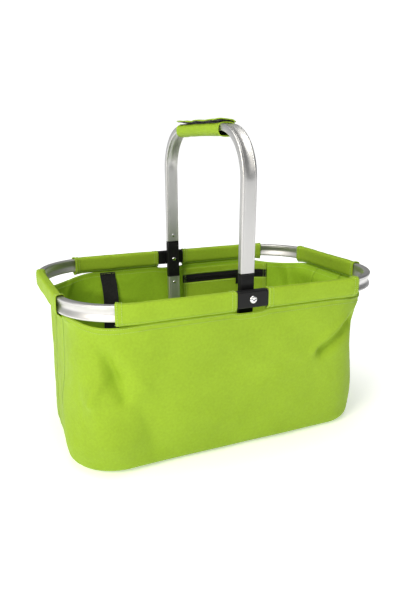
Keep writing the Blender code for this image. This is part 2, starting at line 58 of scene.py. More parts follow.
bpy.context.scene.collection.objects.link(camera)
bpy.context.scene.camera = camera

# ------------------------------------------------------------------ studio
# A white paper floor in a white tent, which is bright behind the basket but lights it
# weakly, most weakly from the right. A big warm soft box stands at the front left, a
# second one hangs above, and a very weak one stands at the right.


def lay_out(nodes, columns):
    """Give nodes their places in the node editor, row by row."""
    for i, node in enumerate(nodes):
        node.location = (220 * (i % columns), -300 * (i // columns))


def blank_finish(name):
    """A material with an empty node tree, and that tree's calls for new nodes and links."""
    finish = bpy.data.materials.new(name)
    finish.use_nodes = True
    finish.node_tree.nodes.clear()
    return finish, finish.node_tree.nodes.new, finish.node_tree.links.new


world = bpy.data.worlds.new("white_room")
bpy.context.scene.world = world
world.use_nodes = True
tent = world.node_tree
new, link = tent.nodes.new, tent.links.new
tent_light = tent.nodes["Background"]
tent_light.label = "light from the tent"
tent_light.inputs["Color"].default_value = (0.97, 1.0, 1.0, 1.0)
tent_seen = new("ShaderNodeBackground")
tent_seen.label = "the tent as it is seen"
tent_seen.inputs["Color"].default_value = (1.0, 1.0, 1.0, 1.0)
tent_seen.inputs["Strength"].default_value = 1.05
seen_rays = new("ShaderNodeLightPath")
seen_rays.label = "seen, or lighting"
tent_way = new("ShaderNodeTexCoord")
tent_way.label = "way into the tent"
tent_side = new("ShaderNodeSeparateXYZ")
tent_side.label = "left to right"
tent_fall = new("ShaderNodeMapRange")
tent_fall.label = "dimmer towards the right"
tent_fall.inputs["From Min"].default_value = -1.0
tent_fall.inputs["From Max"].default_value = 1.0
tent_fall.inputs["To Min"].default_value = 0.46
tent_fall.inputs["To Max"].default_value = 0.12
tent_mix = new("ShaderNodeMixShader")
tent_mix.label = "white backdrop, softer light"
tent_out = tent.nodes["World Output"]
lay_out((tent_way, tent_side, tent_fall, tent_light, tent_mix, seen_rays, tent_seen, tent_out), 5)
link(tent_way.outputs["Generated"], tent_side.inputs["Vector"])
link(tent_side.outputs["X"], tent_fall.inputs["Value"])
link(tent_fall.outputs["Result"], tent_light.inputs["Strength"])
link(seen_rays.outputs["Is Camera Ray"], tent_mix.inputs["Fac"])
link(tent_light.outputs["Background"], tent_mix.inputs[1])
link(tent_seen.outputs["Background"], tent_mix.inputs[2])
link(tent_mix.outputs["Shader"], tent_out.inputs["Surface"])
bpy.context.scene.view_settings.view_transform = "Standard"

# Name, place, width in metres, power in watts and colour of each soft box.
SOFT_BOXES = (
    ("key_box", (-1.62, -1.10, 1.35), 0.7, 27.0, (1.0, 0.94, 0.83)),
    ("fill_box", (1.30, -1.50, 0.90), 1.3, 0.3, (1.0, 0.97, 0.92)),
    ("top_box", (-0.10, -0.30, 1.60), 0.9, 9.5, (1.0, 0.98, 0.92)),
)
lit_point = Vector((0.0, 0.0, 0.15))
for box_name, place, size, power, tint in SOFT_BOXES:
    lamp = bpy.data.lights.new(box_name, "AREA")
    lamp.shape = "SQUARE"
    lamp.size = size
    lamp.energy = power
    lamp.color = tint
    holder = bpy.data.objects.new(box_name, lamp)
    holder.location = place
    holder.rotation_euler = (lit_point - Vector(place)).to_track_quat("-Z", "Y").to_euler()
    bpy.context.scene.collection.objects.link(holder)

paper, new, link = blank_finish("floor_paper")
paper_place = new("ShaderNodeTexCoord")
paper_place.label = "place on the paper"
paper_tooth = new("ShaderNodeTexNoise")
paper_tooth.label = "faint tooth of the paper"
paper_tooth.inputs["Scale"].default_value = 3.0
paper_tone = new("ShaderNodeValToRGB")
paper_tone.label = "white, a touch uneven"
paper_tone.color_ramp.elements[0].color = (0.94, 0.94, 0.94, 1.0)
paper_tone.color_ramp.elements[1].color = (0.97, 0.97, 0.97, 1.0)
paper_shader = new("ShaderNodeBsdfPrincipled")
paper_shader.label = "matt paper, lit through"
paper_shader.inputs["Roughness"].default_value = 0.95
paper_shader.inputs["Specular IOR Level"].default_value = 0.1
paper_shader.inputs["Emission Color"].default_value = (1.0, 1.0, 1.0, 1.0)
paper_far = new("ShaderNodeVectorMath")
paper_far.label = "distance from the basket"
paper_far.operation = "LENGTH"
paper_glow = new("ShaderNodeMapRange")
paper_glow.label = "lit table, brighter further out"
paper_glow.inputs["From Min"].default_value = 0.15
paper_glow.inputs["From Max"].default_value = 0.75
paper_glow.inputs["To Min"].default_value = 0.36
paper_glow.inputs["To Max"].default_value = 0.85
paper_out = new("ShaderNodeOutputMaterial")
paper_out.label = "floor"
lay_out((paper_place, paper_tooth, paper_tone, paper_shader, paper_out, paper_far, paper_glow), 5)
link(paper_place.outputs["Object"], paper_tooth.inputs["Vector"])
link(paper_place.outputs["Object"], paper_far.inputs[0])
link(paper_far.outputs["Value"], paper_glow.inputs["Value"])
link(paper_glow.outputs["Result"], paper_shader.inputs["Emission Strength"])
link(paper_tooth.outputs["Fac"], paper_tone.inputs["Fac"])
link(paper_tone.outputs["Color"], paper_shader.inputs["Base Color"])
link(paper_shader.outputs["BSDF"], paper_out.inputs["Surface"])
paper_frame = new("NodeFrame")
paper_frame.label = "paper tone"
paper_place.parent = paper_tooth.parent = paper_tone.parent = paper_frame

PAPER_HALF, PAPER_Z = 9.0, -0.0006
floor_mesh = bpy.data.meshes.new("floor")
floor_mesh.from_pydata([(x * PAPER_HALF, y * PAPER_HALF, PAPER_Z)
                        for x, y in ((-1, -1), (1, -1), (1, 1), (-1, 1))], [], [(0, 1, 2, 3)])
floor_mesh.materials.append(paper)
studio_floor = bpy.data.objects.new("studio_floor", floor_mesh)
bpy.context.scene.collection.objects.link(studio_floor)

# ------------------------------------------------------------------ rim tubes
# Two halves of the rim, drawn from one flat aluminium extrusion 20 x 9 mm and bent over
# a former. The wide faces sink between their edges wherever the tube is bent.
RIM_A, RIM_B, RIM_C, RIM_Z = 0.2255, 0.1455, 0.0855, 0.223
TALL, DEEP, WALL, SINK = 0.020, 0.009, 0.0012, 0.0028
TUBE_CORNER, BORE_CORNER, RIB_GROOVE = 0.0019, 0.0012, 0.00022
UP = Vector((0, 0, 1))
CORNERS = {"fl": (-1, -1, 180), "fr": (1, -1, 270), "br": (1, 1, 0), "bl": (-1, 1, 90)}


def outline(key, a, b, c):
    """Point and outward direction on a rounded rectangle of half sizes a, b and radius c."""
    side, at = key
    if side == "front":
        return Vector((at * (a - c), -b, 0)), Vector((0, -1, 0))
    if side == "back":
        return Vector((at * (a - c), b, 0)), Vector((0, 1, 0))
    if side == "left":
        return Vector((-a, at, 0)), Vector((-1, 0, 0))
    if side == "right":
        return Vector((a, at, 0)), Vector((1, 0, 0))
    sx, sy, start = CORNERS[side]
    t = math.radians(start + at)
    out = Vector((math.cos(t), math.sin(t), 0))
    return Vector((sx * (a - c), sy * (b - c), 0)) + out * c, out


def run(side, v0, v1, n):
    """Keys for outline, evenly spaced along one side or round one corner."""
    return [(side, v0 + (v1 - v0) * i / n) for i in range(n + 1)]


RIB_AT = 0.80
ACROSS = (-0.94, -0.84, -RIB_AT, -0.76, -0.66, -0.45, -0.2, 0.0, 0.2, 0.45, 0.66, 0.76, RIB_AT, 0.84, 0.94)


def flat_tube(tall, deep, corner, sink=0.0, groove=0.0, steps=5):
    """Section of the extrusion as (out, wide) points, with two fine ribs' grooves."""
    pts = []
    for sx, sw, start in ((1, -1, -90), (1, 1, 0), (-1, 1, 90), (-1, -1, 180)):
        cs, cw = sx * (deep / 2 - corner), sw * (tall / 2 - corner)
        for i in range(steps + 1):
            t = math.radians(start + 90 * i / steps)
            pts.append((cs + corner * math.cos(t), cw + corner * math.sin(t)))
        if (sx, sw) in ((1, -1), (-1, 1)):
            half = tall / 2 - corner
            for f in ACROSS:
                dip = sink * 0.5 * (1 + math.cos(math.pi * f)) + (groove if abs(f) == RIB_AT else 0.0)
                pts.append((sx * (deep / 2 - dip), half * f * sx))
    return pts


def loft(bm, rings, wrap=True):
    """Quads between rings of points, with a map in metres: along the run, then around it."""
    uv = bm.loops.layers.uv.get("run") or bm.loops.layers.uv.new("run")
    n = len(rings[0])
    along, around = [0.0], []
    for k, ring in enumerate(rings):
        if k:
            along.append(along[-1] + sum((p - q).length for p, q in zip(ring, rings[k - 1])) / n)
        total = [0.0]
        for i in range(n if wrap else n - 1):
            total.append(total[-1] + (ring[(i + 1) % n] - ring[i]).length)
        around.append(total)
    rows = [[bm.verts.new(p) for p in ring] for ring in rings]
    for k in range(len(rows) - 1):
        for i in range(n if wrap else n - 1):
            j = (i + 1) % n
            face = bm.faces.new((rows[k][i], rows[k][j], rows[k + 1][j], rows[k + 1][i]))
            where = ((k, i), (k, i + 1), (k + 1, i + 1), (k + 1, i))
            for corner, (r, c) in zip(face.loops, where):
                corner[uv].uv = (along[r], around[r][c])
    return rows


def bridge(bm, first, second):
    """Quads from each point of one closed ring to the same point of another."""
    n = len(first)
    for i in range(n):
        bm.faces.new((first[i], first[(i + 1) % n], second[(i + 1) % n], second[i]))


def set_in(frame_at, section):
    """A section's points, set at a place by its outward and its wide direction."""
    p, out, wide = frame_at
    return [p + out * s + wide * w for s, w in section]


def make_piece(bm, name, finish, sharp=38.0, solid=True):
    """A mesh with its faces outward, its finish and smooth shading, at the origin."""
    if solid:
        bmesh.ops.remove_doubles(bm, verts=bm.verts, dist=1e-7)
        bmesh.ops.recalc_face_normals(bm, faces=bm.faces)
        if bm.calc_volume(signed=True) < 0:
            bmesh.ops.reverse_faces(bm, faces=bm.faces)
    mesh = bpy.data.meshes.new(name)
    bm.to_mesh(mesh)
    bm.free()
    mesh.materials.append(finish)
    mesh.polygons.foreach_set("use_smooth", [True] * len(mesh.polygons))
    mesh.set_sharp_from_angle(angle=math.radians(sharp))
    piece = bpy.data.objects.new(name, mesh)
    bpy.context.scene.collection.objects.link(piece)
    return piece


def fit(piece, body, role, *nodes):
    """Let a piece ride on its body, in place of the CAD parts named. Its role is not used."""
    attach(piece, body)
    if nodes:
        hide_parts(*nodes)
    return piece


def drawn_metal(name, colour, roughness, streak, bright):
    """Satin metal drawn through a die: fine streaks along the run, a few handling marks."""
    metal, new, link = blank_finish(name)
    run_map = new("ShaderNodeUVMap")
    run_map.label = "metres along the run"
    run_map.uv_map = "run"
    stretch = new("ShaderNodeMapping")
    stretch.label = "stretch into drawing lines"
    stretch.inputs["Scale"].default_value = (2.5, streak, 1.0)
    lines = new("ShaderNodeTexNoise")
    lines.label = "die lines"
    lines.inputs["Scale"].default_value = 1.0
    lines.inputs["Detail"].default_value = 4.0
    place = new("ShaderNodeTexCoord")
    place.label = "place on the piece"
    clouds = new("ShaderNodeTexNoise")
    clouds.label = "anodising clouds"
    clouds.inputs["Scale"].default_value = 16.0
    clouds.inputs["Detail"].default_value = 3.0
    tone = new("ShaderNodeValToRGB")
    tone.label = "tone between lines"
    tone.color_ramp.elements[0].position = 0.3
    tone.color_ramp.elements[0].color = (*[c * bright for c in colour], 1.0)
    tone.color_ramp.elements[1].position = 0.7
    tone.color_ramp.elements[1].color = (*colour, 1.0)
    gloss = new("ShaderNodeMapRange")
    gloss.label = "gloss, duller in the clouds"
    gloss.inputs["From Min"].default_value = 0.3
    gloss.inputs["From Max"].default_value = 0.7
    gloss.inputs["To Min"].default_value = roughness - 0.05
    gloss.inputs["To Max"].default_value = roughness + 0.07
    scratch = new("ShaderNodeBump")
    scratch.label = "depth of the die lines"
    scratch.inputs["Strength"].default_value = 0.25
    scratch.inputs["Distance"].default_value = 0.00005
    shader = new("ShaderNodeBsdfPrincipled")
    shader.label = "metal"
    shader.inputs["Metallic"].default_value = 1.0
    out = new("ShaderNodeOutputMaterial")
    out.label = "surface"
    line_frame, cloud_frame = new("NodeFrame"), new("NodeFrame")
    line_frame.label, cloud_frame.label = "drawing lines", "gloss clouds"
    run_map.parent = stretch.parent = lines.parent = tone.parent = scratch.parent = line_frame
    place.parent = clouds.parent = gloss.parent = cloud_frame
    lay_out((run_map, stretch, lines, tone, scratch, place, clouds, gloss, shader, out), 5)
    link(run_map.outputs["UV"], stretch.inputs["Vector"])
    link(stretch.outputs["Vector"], lines.inputs["Vector"])
    link(lines.outputs["Fac"], tone.inputs["Fac"])
    link(tone.outputs["Color"], shader.inputs["Base Color"])
    link(lines.outputs["Fac"], scratch.inputs["Height"])
    link(scratch.outputs["Normal"], shader.inputs["Normal"])
    link(place.outputs["Object"], clouds.inputs["Vector"])
    link(clouds.outputs["Fac"], gloss.inputs["Value"])
    link(gloss.outputs["Result"], shader.inputs["Roughness"])
    link(shader.outputs["BSDF"], out.inputs["Surface"])
    return metal


aluminium = drawn_metal("satin_aluminium", (0.67, 0.665, 0.665), 0.46, 1400.0, 0.93)


def ease(t):
    """From 0 to 1 with a soft start and end."""
    t = max(0.0, min(1.0, t))
    return t * t * (3 - 2 * t)


def hollow_tube(name, line, body):
    """A length of the extrusion along a line of (frame, sink), open at both ends."""
    bm = bmesh.new()
    skin = loft(bm, [set_in(at, flat_tube(TALL, DEEP, TUBE_CORNER, sink, RIB_GROOVE)) for at, sink in line])
    bore = loft(bm, [set_in(at, flat_tube(TALL - 2 * WALL, DEEP - 2 * WALL, BORE_CORNER, sink))
                     for at, sink in line])
    bridge(bm, skin[0], bore[0])
    bridge(bm, skin[-1], bore[-1])
    fit(make_piece(bm, name + "_tube", aluminium), body, "aluminium", name)


def rim_tube(name, keys):
    line = []
    for key in keys:
        p, out = outline(key, RIM_A, RIM_B, RIM_C)
        sink = SINK * ease(min(key[1], 90 - key[1]) / 16.0) if key[0] in CORNERS else 0.0
        line.append(((p + UP * RIM_Z, out, UP), sink))
    hollow_tube(name, line, "basket")


BRACKET = 0.0214
tube_end = (BRACKET + 0.0003) / (RIM_A - RIM_C)
end_run = RIM_B - RIM_C
rim_tube("rim_left", run("back", -tube_end, -1, 6) + run("bl", 0, 90, 32)[1:]
         + run("left", end_run, -end_run, 5)[1:] + run("fl", 0, 90, 32)[1:]
         + run("front", -1, -tube_end, 6)[1:])
rim_tube("rim_right", run("front", tube_end, 1, 6) + run("fr", 0, 90, 32)[1:]
         + run("right", -end_run, end_run, 5)[1:] + run("br", 0, 90, 32)[1:]
         + run("back", 1, tube_end, 6)[1:])

# ------------------------------------------------------------------ rim brackets
# Black moulded connectors, 43 x 22 x 11 mm, that join the rim halves at the middle of
# each long side. A spigot at each end is pressed into the tube.


def moulded_plastic(name, colour, roughness, grain):
    """Moulded black plastic: fine spark-eroded grain, slightly polished where it is handled."""
    plastic, new, link = blank_finish(name)
    place = new("ShaderNodeTexCoord")
    place.label = "place on the piece"
    grit = new("ShaderNodeTexNoise")
    grit.label = "mould grain"
    grit.inputs["Scale"].default_value = 1.0 / grain
    grit.inputs["Detail"].default_value = 3.0
    press = new("ShaderNodeBump")
    press.label = "depth of the grain"
    press.inputs["Strength"].default_value = 0.35
    press.inputs["Distance"].default_value = 0.00006
    rub = new("ShaderNodeTexNoise")
    rub.label = "rubbed patches"
    rub.inputs["Scale"].default_value = 45.0
    gloss = new("ShaderNodeMapRange")
    gloss.label = "gloss of the patches"
    gloss.inputs["To Min"].default_value = roughness - 0.10
    gloss.inputs["To Max"].default_value = roughness + 0.10
    tone = new("ShaderNodeValToRGB")
    tone.label = "black, greyer where rubbed"
    tone.color_ramp.elements[0].color = (*colour, 1.0)
    tone.color_ramp.elements[1].color = (*[c * 1.5 + 0.002 for c in colour], 1.0)
    shader = new("ShaderNodeBsdfPrincipled")
    shader.label = "plastic"
    shader.inputs["Specular IOR Level"].default_value = 0.22
    out = new("ShaderNodeOutputMaterial")
    out.label = "surface"
    grain_frame, rub_frame = new("NodeFrame"), new("NodeFrame")
    grain_frame.label, rub_frame.label = "mould grain", "rubbing"
    place.parent = grit.parent = press.parent = grain_frame
    rub.parent = gloss.parent = tone.parent = rub_frame
    lay_out((place, grit, press, shader, rub, gloss, tone, out), 4)
    link(place.outputs["Object"], grit.inputs["Vector"])
    link(grit.outputs["Fac"], press.inputs["Height"])
    link(press.outputs["Normal"], shader.inputs["Normal"])
    link(place.outputs["Object"], rub.inputs["Vector"])
    link(rub.outputs["Fac"], gloss.inputs["Value"])
    link(rub.outputs["Fac"], tone.inputs["Fac"])
    link(gloss.outputs["Result"], shader.inputs["Roughness"])
    link(tone.outputs["Color"], shader.inputs["Base Color"])
    link(shader.outputs["BSDF"], out.inputs["Surface"])
    return plastic


black_plastic = moulded_plastic("black_moulding", (0.0065, 0.0065, 0.007), 0.44, 0.0004)


def moulded_bar(stations):
    """Closed bar through stations of (frame, tall, deep, corner)."""
    bm = bmesh.new()
    rows = loft(bm, [set_in(at, flat_tube(t, d, c)) for at, t, d, c in stations])
    bm.faces.new(rows[0])
    bm.faces.new(rows[-1])
    return bm


def both_ways(half):
    """Stations listed from the far end to the middle, run on to the other far end."""
    return [(-far, *size) for far, *size in half] + half[::-1]


def filleted(length, shrink, steps=4):
    """Positions and shrinkage that round off an end of that length."""
    return [(length * (1 - math.cos(math.radians(90 * i / steps))),
             shrink * (1 - math.sin(math.radians(90 * i / steps)))) for i in range(steps + 1)]


# Stations of half a bracket: distance from its middle, tall, deep, corner.
SPIGOT = [(0.0452, 0.0150, 0.0044, 0.0008), (0.0444, 0.0169, 0.0059, 0.0010),
          (0.0216, 0.0171, 0.0061, 0.0010)]
BLOCK_END = [(BRACKET - back_off, 0.0220 - 2 * shrink, 0.0110 - 2 * shrink, 0.0022)
             for back_off, shrink in filleted(0.0014, 0.0014)]
BLOCK = [(0.0160, 0.0219, 0.0109, 0.0022), (0.0060, 0.0220, 0.0110, 0.0022)]
for side, word in ((-1, "front"), (1, "back")):
    stations = [((Vector((x, side * RIM_B, RIM_Z)), Vector((0, side, 0)), UP), t, d, c)
                for x, t, d, c in both_ways(SPIGOT + BLOCK_END + BLOCK)]
    bracket = make_piece(moulded_bar(stations), "rim_bracket_%s_moulding" % word, black_plastic)
    fit(bracket, "basket", "black_plastic", "rim_bracket_" + word)

# ------------------------------------------------------------------ pivot rivets and spacers
# One steel rivet per side goes through bracket, washer and hinge link. Its domed outer
# head is pressed in three places; the washer keeps the link off the bracket.


HEAD_FACE, MARK_AT, MARK_WIDE, MARK_DEEP = 0.1515, 0.0026, 0.0010, 0.0009


def turned(profile, side, marks=0.0, segments=48):
    """Solid of (y, radius) turned about the pivot, with three pressed marks on its head."""
    bm = bmesh.new()
    rings = []
    for y, r in profile:
        ring = []
        for i in range(segments):
            t = 2 * math.pi * i / segments
            lobe = max(0.0, math.cos(3 * (t - 0.4))) ** 4
            dent = marks * lobe * math.exp(-((r - MARK_AT) / MARK_WIDE) ** 2) if y > HEAD_FACE else 0.0
            ring.append(Vector((r * math.cos(t), side * (y - dent), RIM_Z + r * math.sin(t))))
        rings.append(ring)
    rows = loft(bm, rings)
    if profile[0] != profile[-1]:
        bm.faces.new(rows[0])
        bm.faces.new(rows[-1])
    return bm


bright_steel = drawn_metal("bright_rivet_steel", (0.86, 0.86, 0.87), 0.20, 300.0, 0.85)
RIVET = [(0.1234, 0.0006), (0.1234, 0.0020), (0.1237, 0.0028), (0.1243, 0.0033), (0.1256, 0.0034),
         (0.1256, 0.0025), (0.1510, 0.0025), (0.1510, 0.0048), (0.1513, 0.0051), (0.1518, 0.0050),
         (0.1525, 0.0046), (0.1530, 0.0040), (0.1533, 0.0032), (0.1534, 0.0024), (0.1532, 0.0018),
         (0.1527, 0.0013), (0.1524, 0.0006)]
WASHER = [(0.1354, 0.0027), (0.1354, 0.0064), (0.1357, 0.0067), (0.1362, 0.0068), (0.1388, 0.0068),
          (0.1393, 0.0067), (0.1396, 0.0064), (0.1396, 0.0027), (0.1354, 0.0027)]
for side, word in ((-1, "front"), (1, "back")):
    rivet = make_piece(turned(RIVET, side, MARK_DEEP), "pivot_rivet_%s_headed" % word, bright_steel, 50.0)
    fit(rivet, "basket", "rivet_steel", "pivot_rivet_" + word)
    washer = make_piece(turned(WASHER, side), "pivot_spacer_%s_moulding" % word, black_plastic)
    fit(washer, "basket", "black_plastic", "pivot_spacer_" + word)

# ------------------------------------------------------------------ carrying loop
# Two arches of the same extrusion, standing with its wide faces to the front and back:
# the handle above, and the arch below that the folded basket stands on.
BEND = 0.0635
LEG_Y = 0.1305
UPPER_REACH, UPPER_LEAN = 0.2122, 0.0150
LOWER_REACH, LOWER_LEAN = 0.2178, -0.061
TUBE_START = 0.0300


def arch_line(reach, lean, up, start):
    """Frames and sink of an arch's middle line, from the front leg over to the back leg."""
    h = reach - DEEP / 2
    t = (h - BEND - BEND * math.sin(lean)) / math.cos(lean)
    yc = LEG_Y + t * math.sin(lean) - BEND * math.cos(lean)
    zc = h - BEND
    first = start / math.cos(lean)
    half = []
    for k in range(13):
        s = first + (t - first) * k / 13
        half.append((LEG_Y + s * math.sin(lean), s * math.cos(lean), -lean, 0.0))
    steps = 34
    for i in range(steps + 1):
        ang = -lean + (math.pi / 2 + lean) * i / steps
        half.append((yc + BEND * math.cos(ang), zc + BEND * math.sin(ang), ang,
                     SINK * ease(i / 6.5) * ease((steps - i) / 6.5)))
    line = []
    for side, pts in ((-1, half), (1, half[::-1])):
        for y, z, ang, sink in pts:
            line.append(((Vector((0, side * y, RIM_Z + up * z)),
                          Vector((0, side * math.cos(ang), up * math.sin(ang))),
                          Vector((1, 0, 0))), sink))
    return line


for name, reach, lean, up in (("handle_arch", UPPER_REACH, UPPER_LEAN, 1),
                              ("lower_arch", LOWER_REACH, LOWER_LEAN, -1)):
    hollow_tube(name, arch_line(reach, lean, up, TUBE_START), "carrying_loop")

# ------------------------------------------------------------------ hinge links
# Black moulded links, 60 mm long between the arches, with a tongue in each arch and a
# fine line round them near each end. Small steel rivets hold the tongues.
LINK = 0.0297
# Stations of half a link: distance from its middle, tall, deep, corner.
TONGUE = [(0.0497, 0.0150, 0.0042, 0.0008), (0.0485, 0.0169, 0.0059, 0.0010),
          (0.0299, 0.0171, 0.0061, 0.0010)]
LINK_END = [(LINK - back_off, TALL - 2 * shrink, DEEP - 2 * shrink, TUBE_CORNER)
            for back_off, shrink in filleted(0.0009, 0.0009, 3)]
FINE_LINE = [(0.0278, TALL, DEEP, TUBE_CORNER), (0.0275, 0.0196, 0.0086, 0.0018),
             (0.0270, 0.0196, 0.0086, 0.0018), (0.0267, TALL, DEEP, TUBE_CORNER)]
SHAFT = [(0.0150, TALL, DEEP, TUBE_CORNER), (0.0020, TALL, DEEP, TUBE_CORNER)]
for side, word in ((-1, "front"), (1, "back")):
    stations = []
    for z, t, d, c in both_ways(TONGUE + LINK_END + FINE_LINE + SHAFT):
        lean = UPPER_LEAN if z > 0 else LOWER_LEAN
        at = (Vector((0, side * (LEG_Y + math.tan(lean) * abs(z)), RIM_Z + z)),
              Vector((0, side, 0)), Vector((1, 0, 0)))
        stations.append((at, t, d, c))
    hinge = make_piece(moulded_bar(stations), "hinge_link_%s_moulding" % word, black_plastic)
    fit(hinge, "carrying_loop", "black_plastic", "hinge_link_" + word)

# The four tongue rivets come from one tree: a low domed head on a shank at each point,
# turned to face the way its "facing" says.
rivet_tree = bpy.data.node_groups.new("tongue_rivets", "GeometryNodeTree")


def asks(tree, label, kind):
    """A new input of a tree, as the name by which a modifier sets it."""
    return tree.interface.new_socket(label, in_out="INPUT", socket_type="NodeSocket" + kind).identifier


asks(rivet_tree, "Places", "Geometry")
head_radius = asks(rivet_tree, "Head radius", "Float")
head_height = asks(rivet_tree, "Head height", "Float")
shank_length = asks(rivet_tree, "Shank length", "Float")
rivet_finish = asks(rivet_tree, "Finish", "Material")
rivet_tree.interface.new_socket("Rivets", in_out="OUTPUT", socket_type="NodeSocketGeometry")
new, link = rivet_tree.nodes.new, rivet_tree.links.new
asked, given = new("NodeGroupInput"), new("NodeGroupOutput")
dome = new("GeometryNodeMeshUVSphere")
dome.label = "head"
dome.inputs["Segments"].default_value = 24
dome.inputs["Rings"].default_value = 12
dome.inputs["Radius"].default_value = 1.0
squashed = new("GeometryNodeTransform")
squashed.label = "press the head flat"
head_size = new("ShaderNodeCombineXYZ")
head_size.label = "head size"
shank = new("GeometryNodeMeshCylinder")
shank.label = "shank"
shank.inputs["Vertices"].default_value = 16
shank.inputs["Radius"].default_value = 0.0014
sunk = new("GeometryNodeTransform")
sunk.label = "shank behind the head"
half_back = new("ShaderNodeMath")
half_back.label = "half a shank back"
half_back.operation = "MULTIPLY"
half_back.inputs[1].default_value = -0.5
behind = new("ShaderNodeCombineXYZ")
behind.label = "back along the rivet"
whole = new("GeometryNodeJoinGeometry")
whole.label = "one rivet"
facing = new("GeometryNodeInputNamedAttribute")
facing.label = "which way it faces"
facing.data_type = "FLOAT_VECTOR"
facing.inputs["Name"].default_value = "facing"
turn = new("FunctionNodeAlignRotationToVector")
turn.label = "turn to face out"
turn.axis = "Z"
setting = new("GeometryNodeInstanceOnPoints")
setting.label = "set the rivets"
real = new("GeometryNodeRealizeInstances")
real.label = "make them real"
smooth = new("GeometryNodeSetShadeSmooth")
smooth.label = "smooth heads"
steel = new("GeometryNodeSetMaterial")
steel.label = "steel"
lay_out((asked, dome, head_size, squashed, shank, half_back, behind, sunk, whole, facing, turn,
         setting, smooth, real, steel, given), 8)
link(dome.outputs["Mesh"], squashed.inputs["Geometry"])
link(asked.outputs["Head radius"], head_size.inputs["X"])
link(asked.outputs["Head radius"], head_size.inputs["Y"])
link(asked.outputs["Head height"], head_size.inputs["Z"])
link(head_size.outputs["Vector"], squashed.inputs["Scale"])
link(asked.outputs["Shank length"], shank.inputs["Depth"])
link(asked.outputs["Shank length"], half_back.inputs[0])
link(half_back.outputs["Value"], behind.inputs["Z"])
link(shank.outputs["Mesh"], sunk.inputs["Geometry"])
link(behind.outputs["Vector"], sunk.inputs["Translation"])
link(sunk.outputs["Geometry"], whole.inputs["Geometry"])
link(squashed.outputs["Geometry"], whole.inputs["Geometry"])
link(facing.outputs["Attribute"], turn.inputs["Vector"])
link(asked.outputs["Places"], setting.inputs["Points"])
link(whole.outputs["Geometry"], setting.inputs["Instance"])
link(turn.outputs["Rotation"], setting.inputs["Rotation"])
link(setting.outputs["Instances"], smooth.inputs["Geometry"])
link(smooth.outputs["Geometry"], real.inputs["Geometry"])
link(real.outputs["Geometry"], steel.inputs["Geometry"])
link(asked.outputs["Finish"], steel.inputs["Material"])
link(steel.outputs["Geometry"], given.inputs["Rivets"])


def grown(mesh, name, group, settings):
    """The mesh that a tree makes from a plain mesh, with the tree gone again."""
    seed = bpy.data.objects.new(name, mesh)
    bpy.context.scene.collection.objects.link(seed)
    modifier = seed.modifiers.new(group.name, "NODES")
    modifier.node_group = group
    for identifier, value in settings.items():
        modifier[identifier] = value
    bpy.context.view_layer.update()
    made = seed.evaluated_get(bpy.context.evaluated_depsgraph_get())
    result = bpy.data.meshes.new_from_object(made)
    seed.modifiers.remove(modifier)
    seed.data = result
    return seed


TONGUE_RIVET_AT, HEAD_PROUD = 0.0396, 0.0001
places, ways = [], []
for side in (-1, 1):
    for z, lean in ((TONGUE_RIVET_AT, UPPER_LEAN), (-TONGUE_RIVET_AT, LOWER_LEAN)):
        face_y = LEG_Y + math.tan(lean) * abs(z) - DEEP / 2
        places.append((0.0, side * (face_y - HEAD_PROUD), RIM_Z + z))
        ways.append((0.0, -side, 0.0))
rivet_points = bpy.data.meshes.new("tongue_rivet_points")
rivet_points.from_pydata(places, [], [])
way = rivet_points.attributes.new("facing", "FLOAT_VECTOR", "POINT")
for i, vector in enumerate(ways):
    way.data[i].vector = vector
tongue_rivets = grown(rivet_points, "link_rivet_set", rivet_tree,
                      {head_radius: 0.0026, head_height: 0.0010, shank_length: 0.0040,
                       rivet_finish: bright_steel})
fit(tongue_rivets, "carrying_loop", "rivet_steel", "link_rivet_front_upper",
    "link_rivet_front_lower", "link_rivet_back_upper", "link_rivet_back_lower")

# ------------------------------------------------------------------ grip wrap
# A loose tunnel of the bag's own coated canvas round the handle's top bar, sewn along
# its top. It hangs lower under the bar than over it, so its ends stand open.


WAVE_PITCH = 0.314  # distance between a wave texture's bands at scale 1


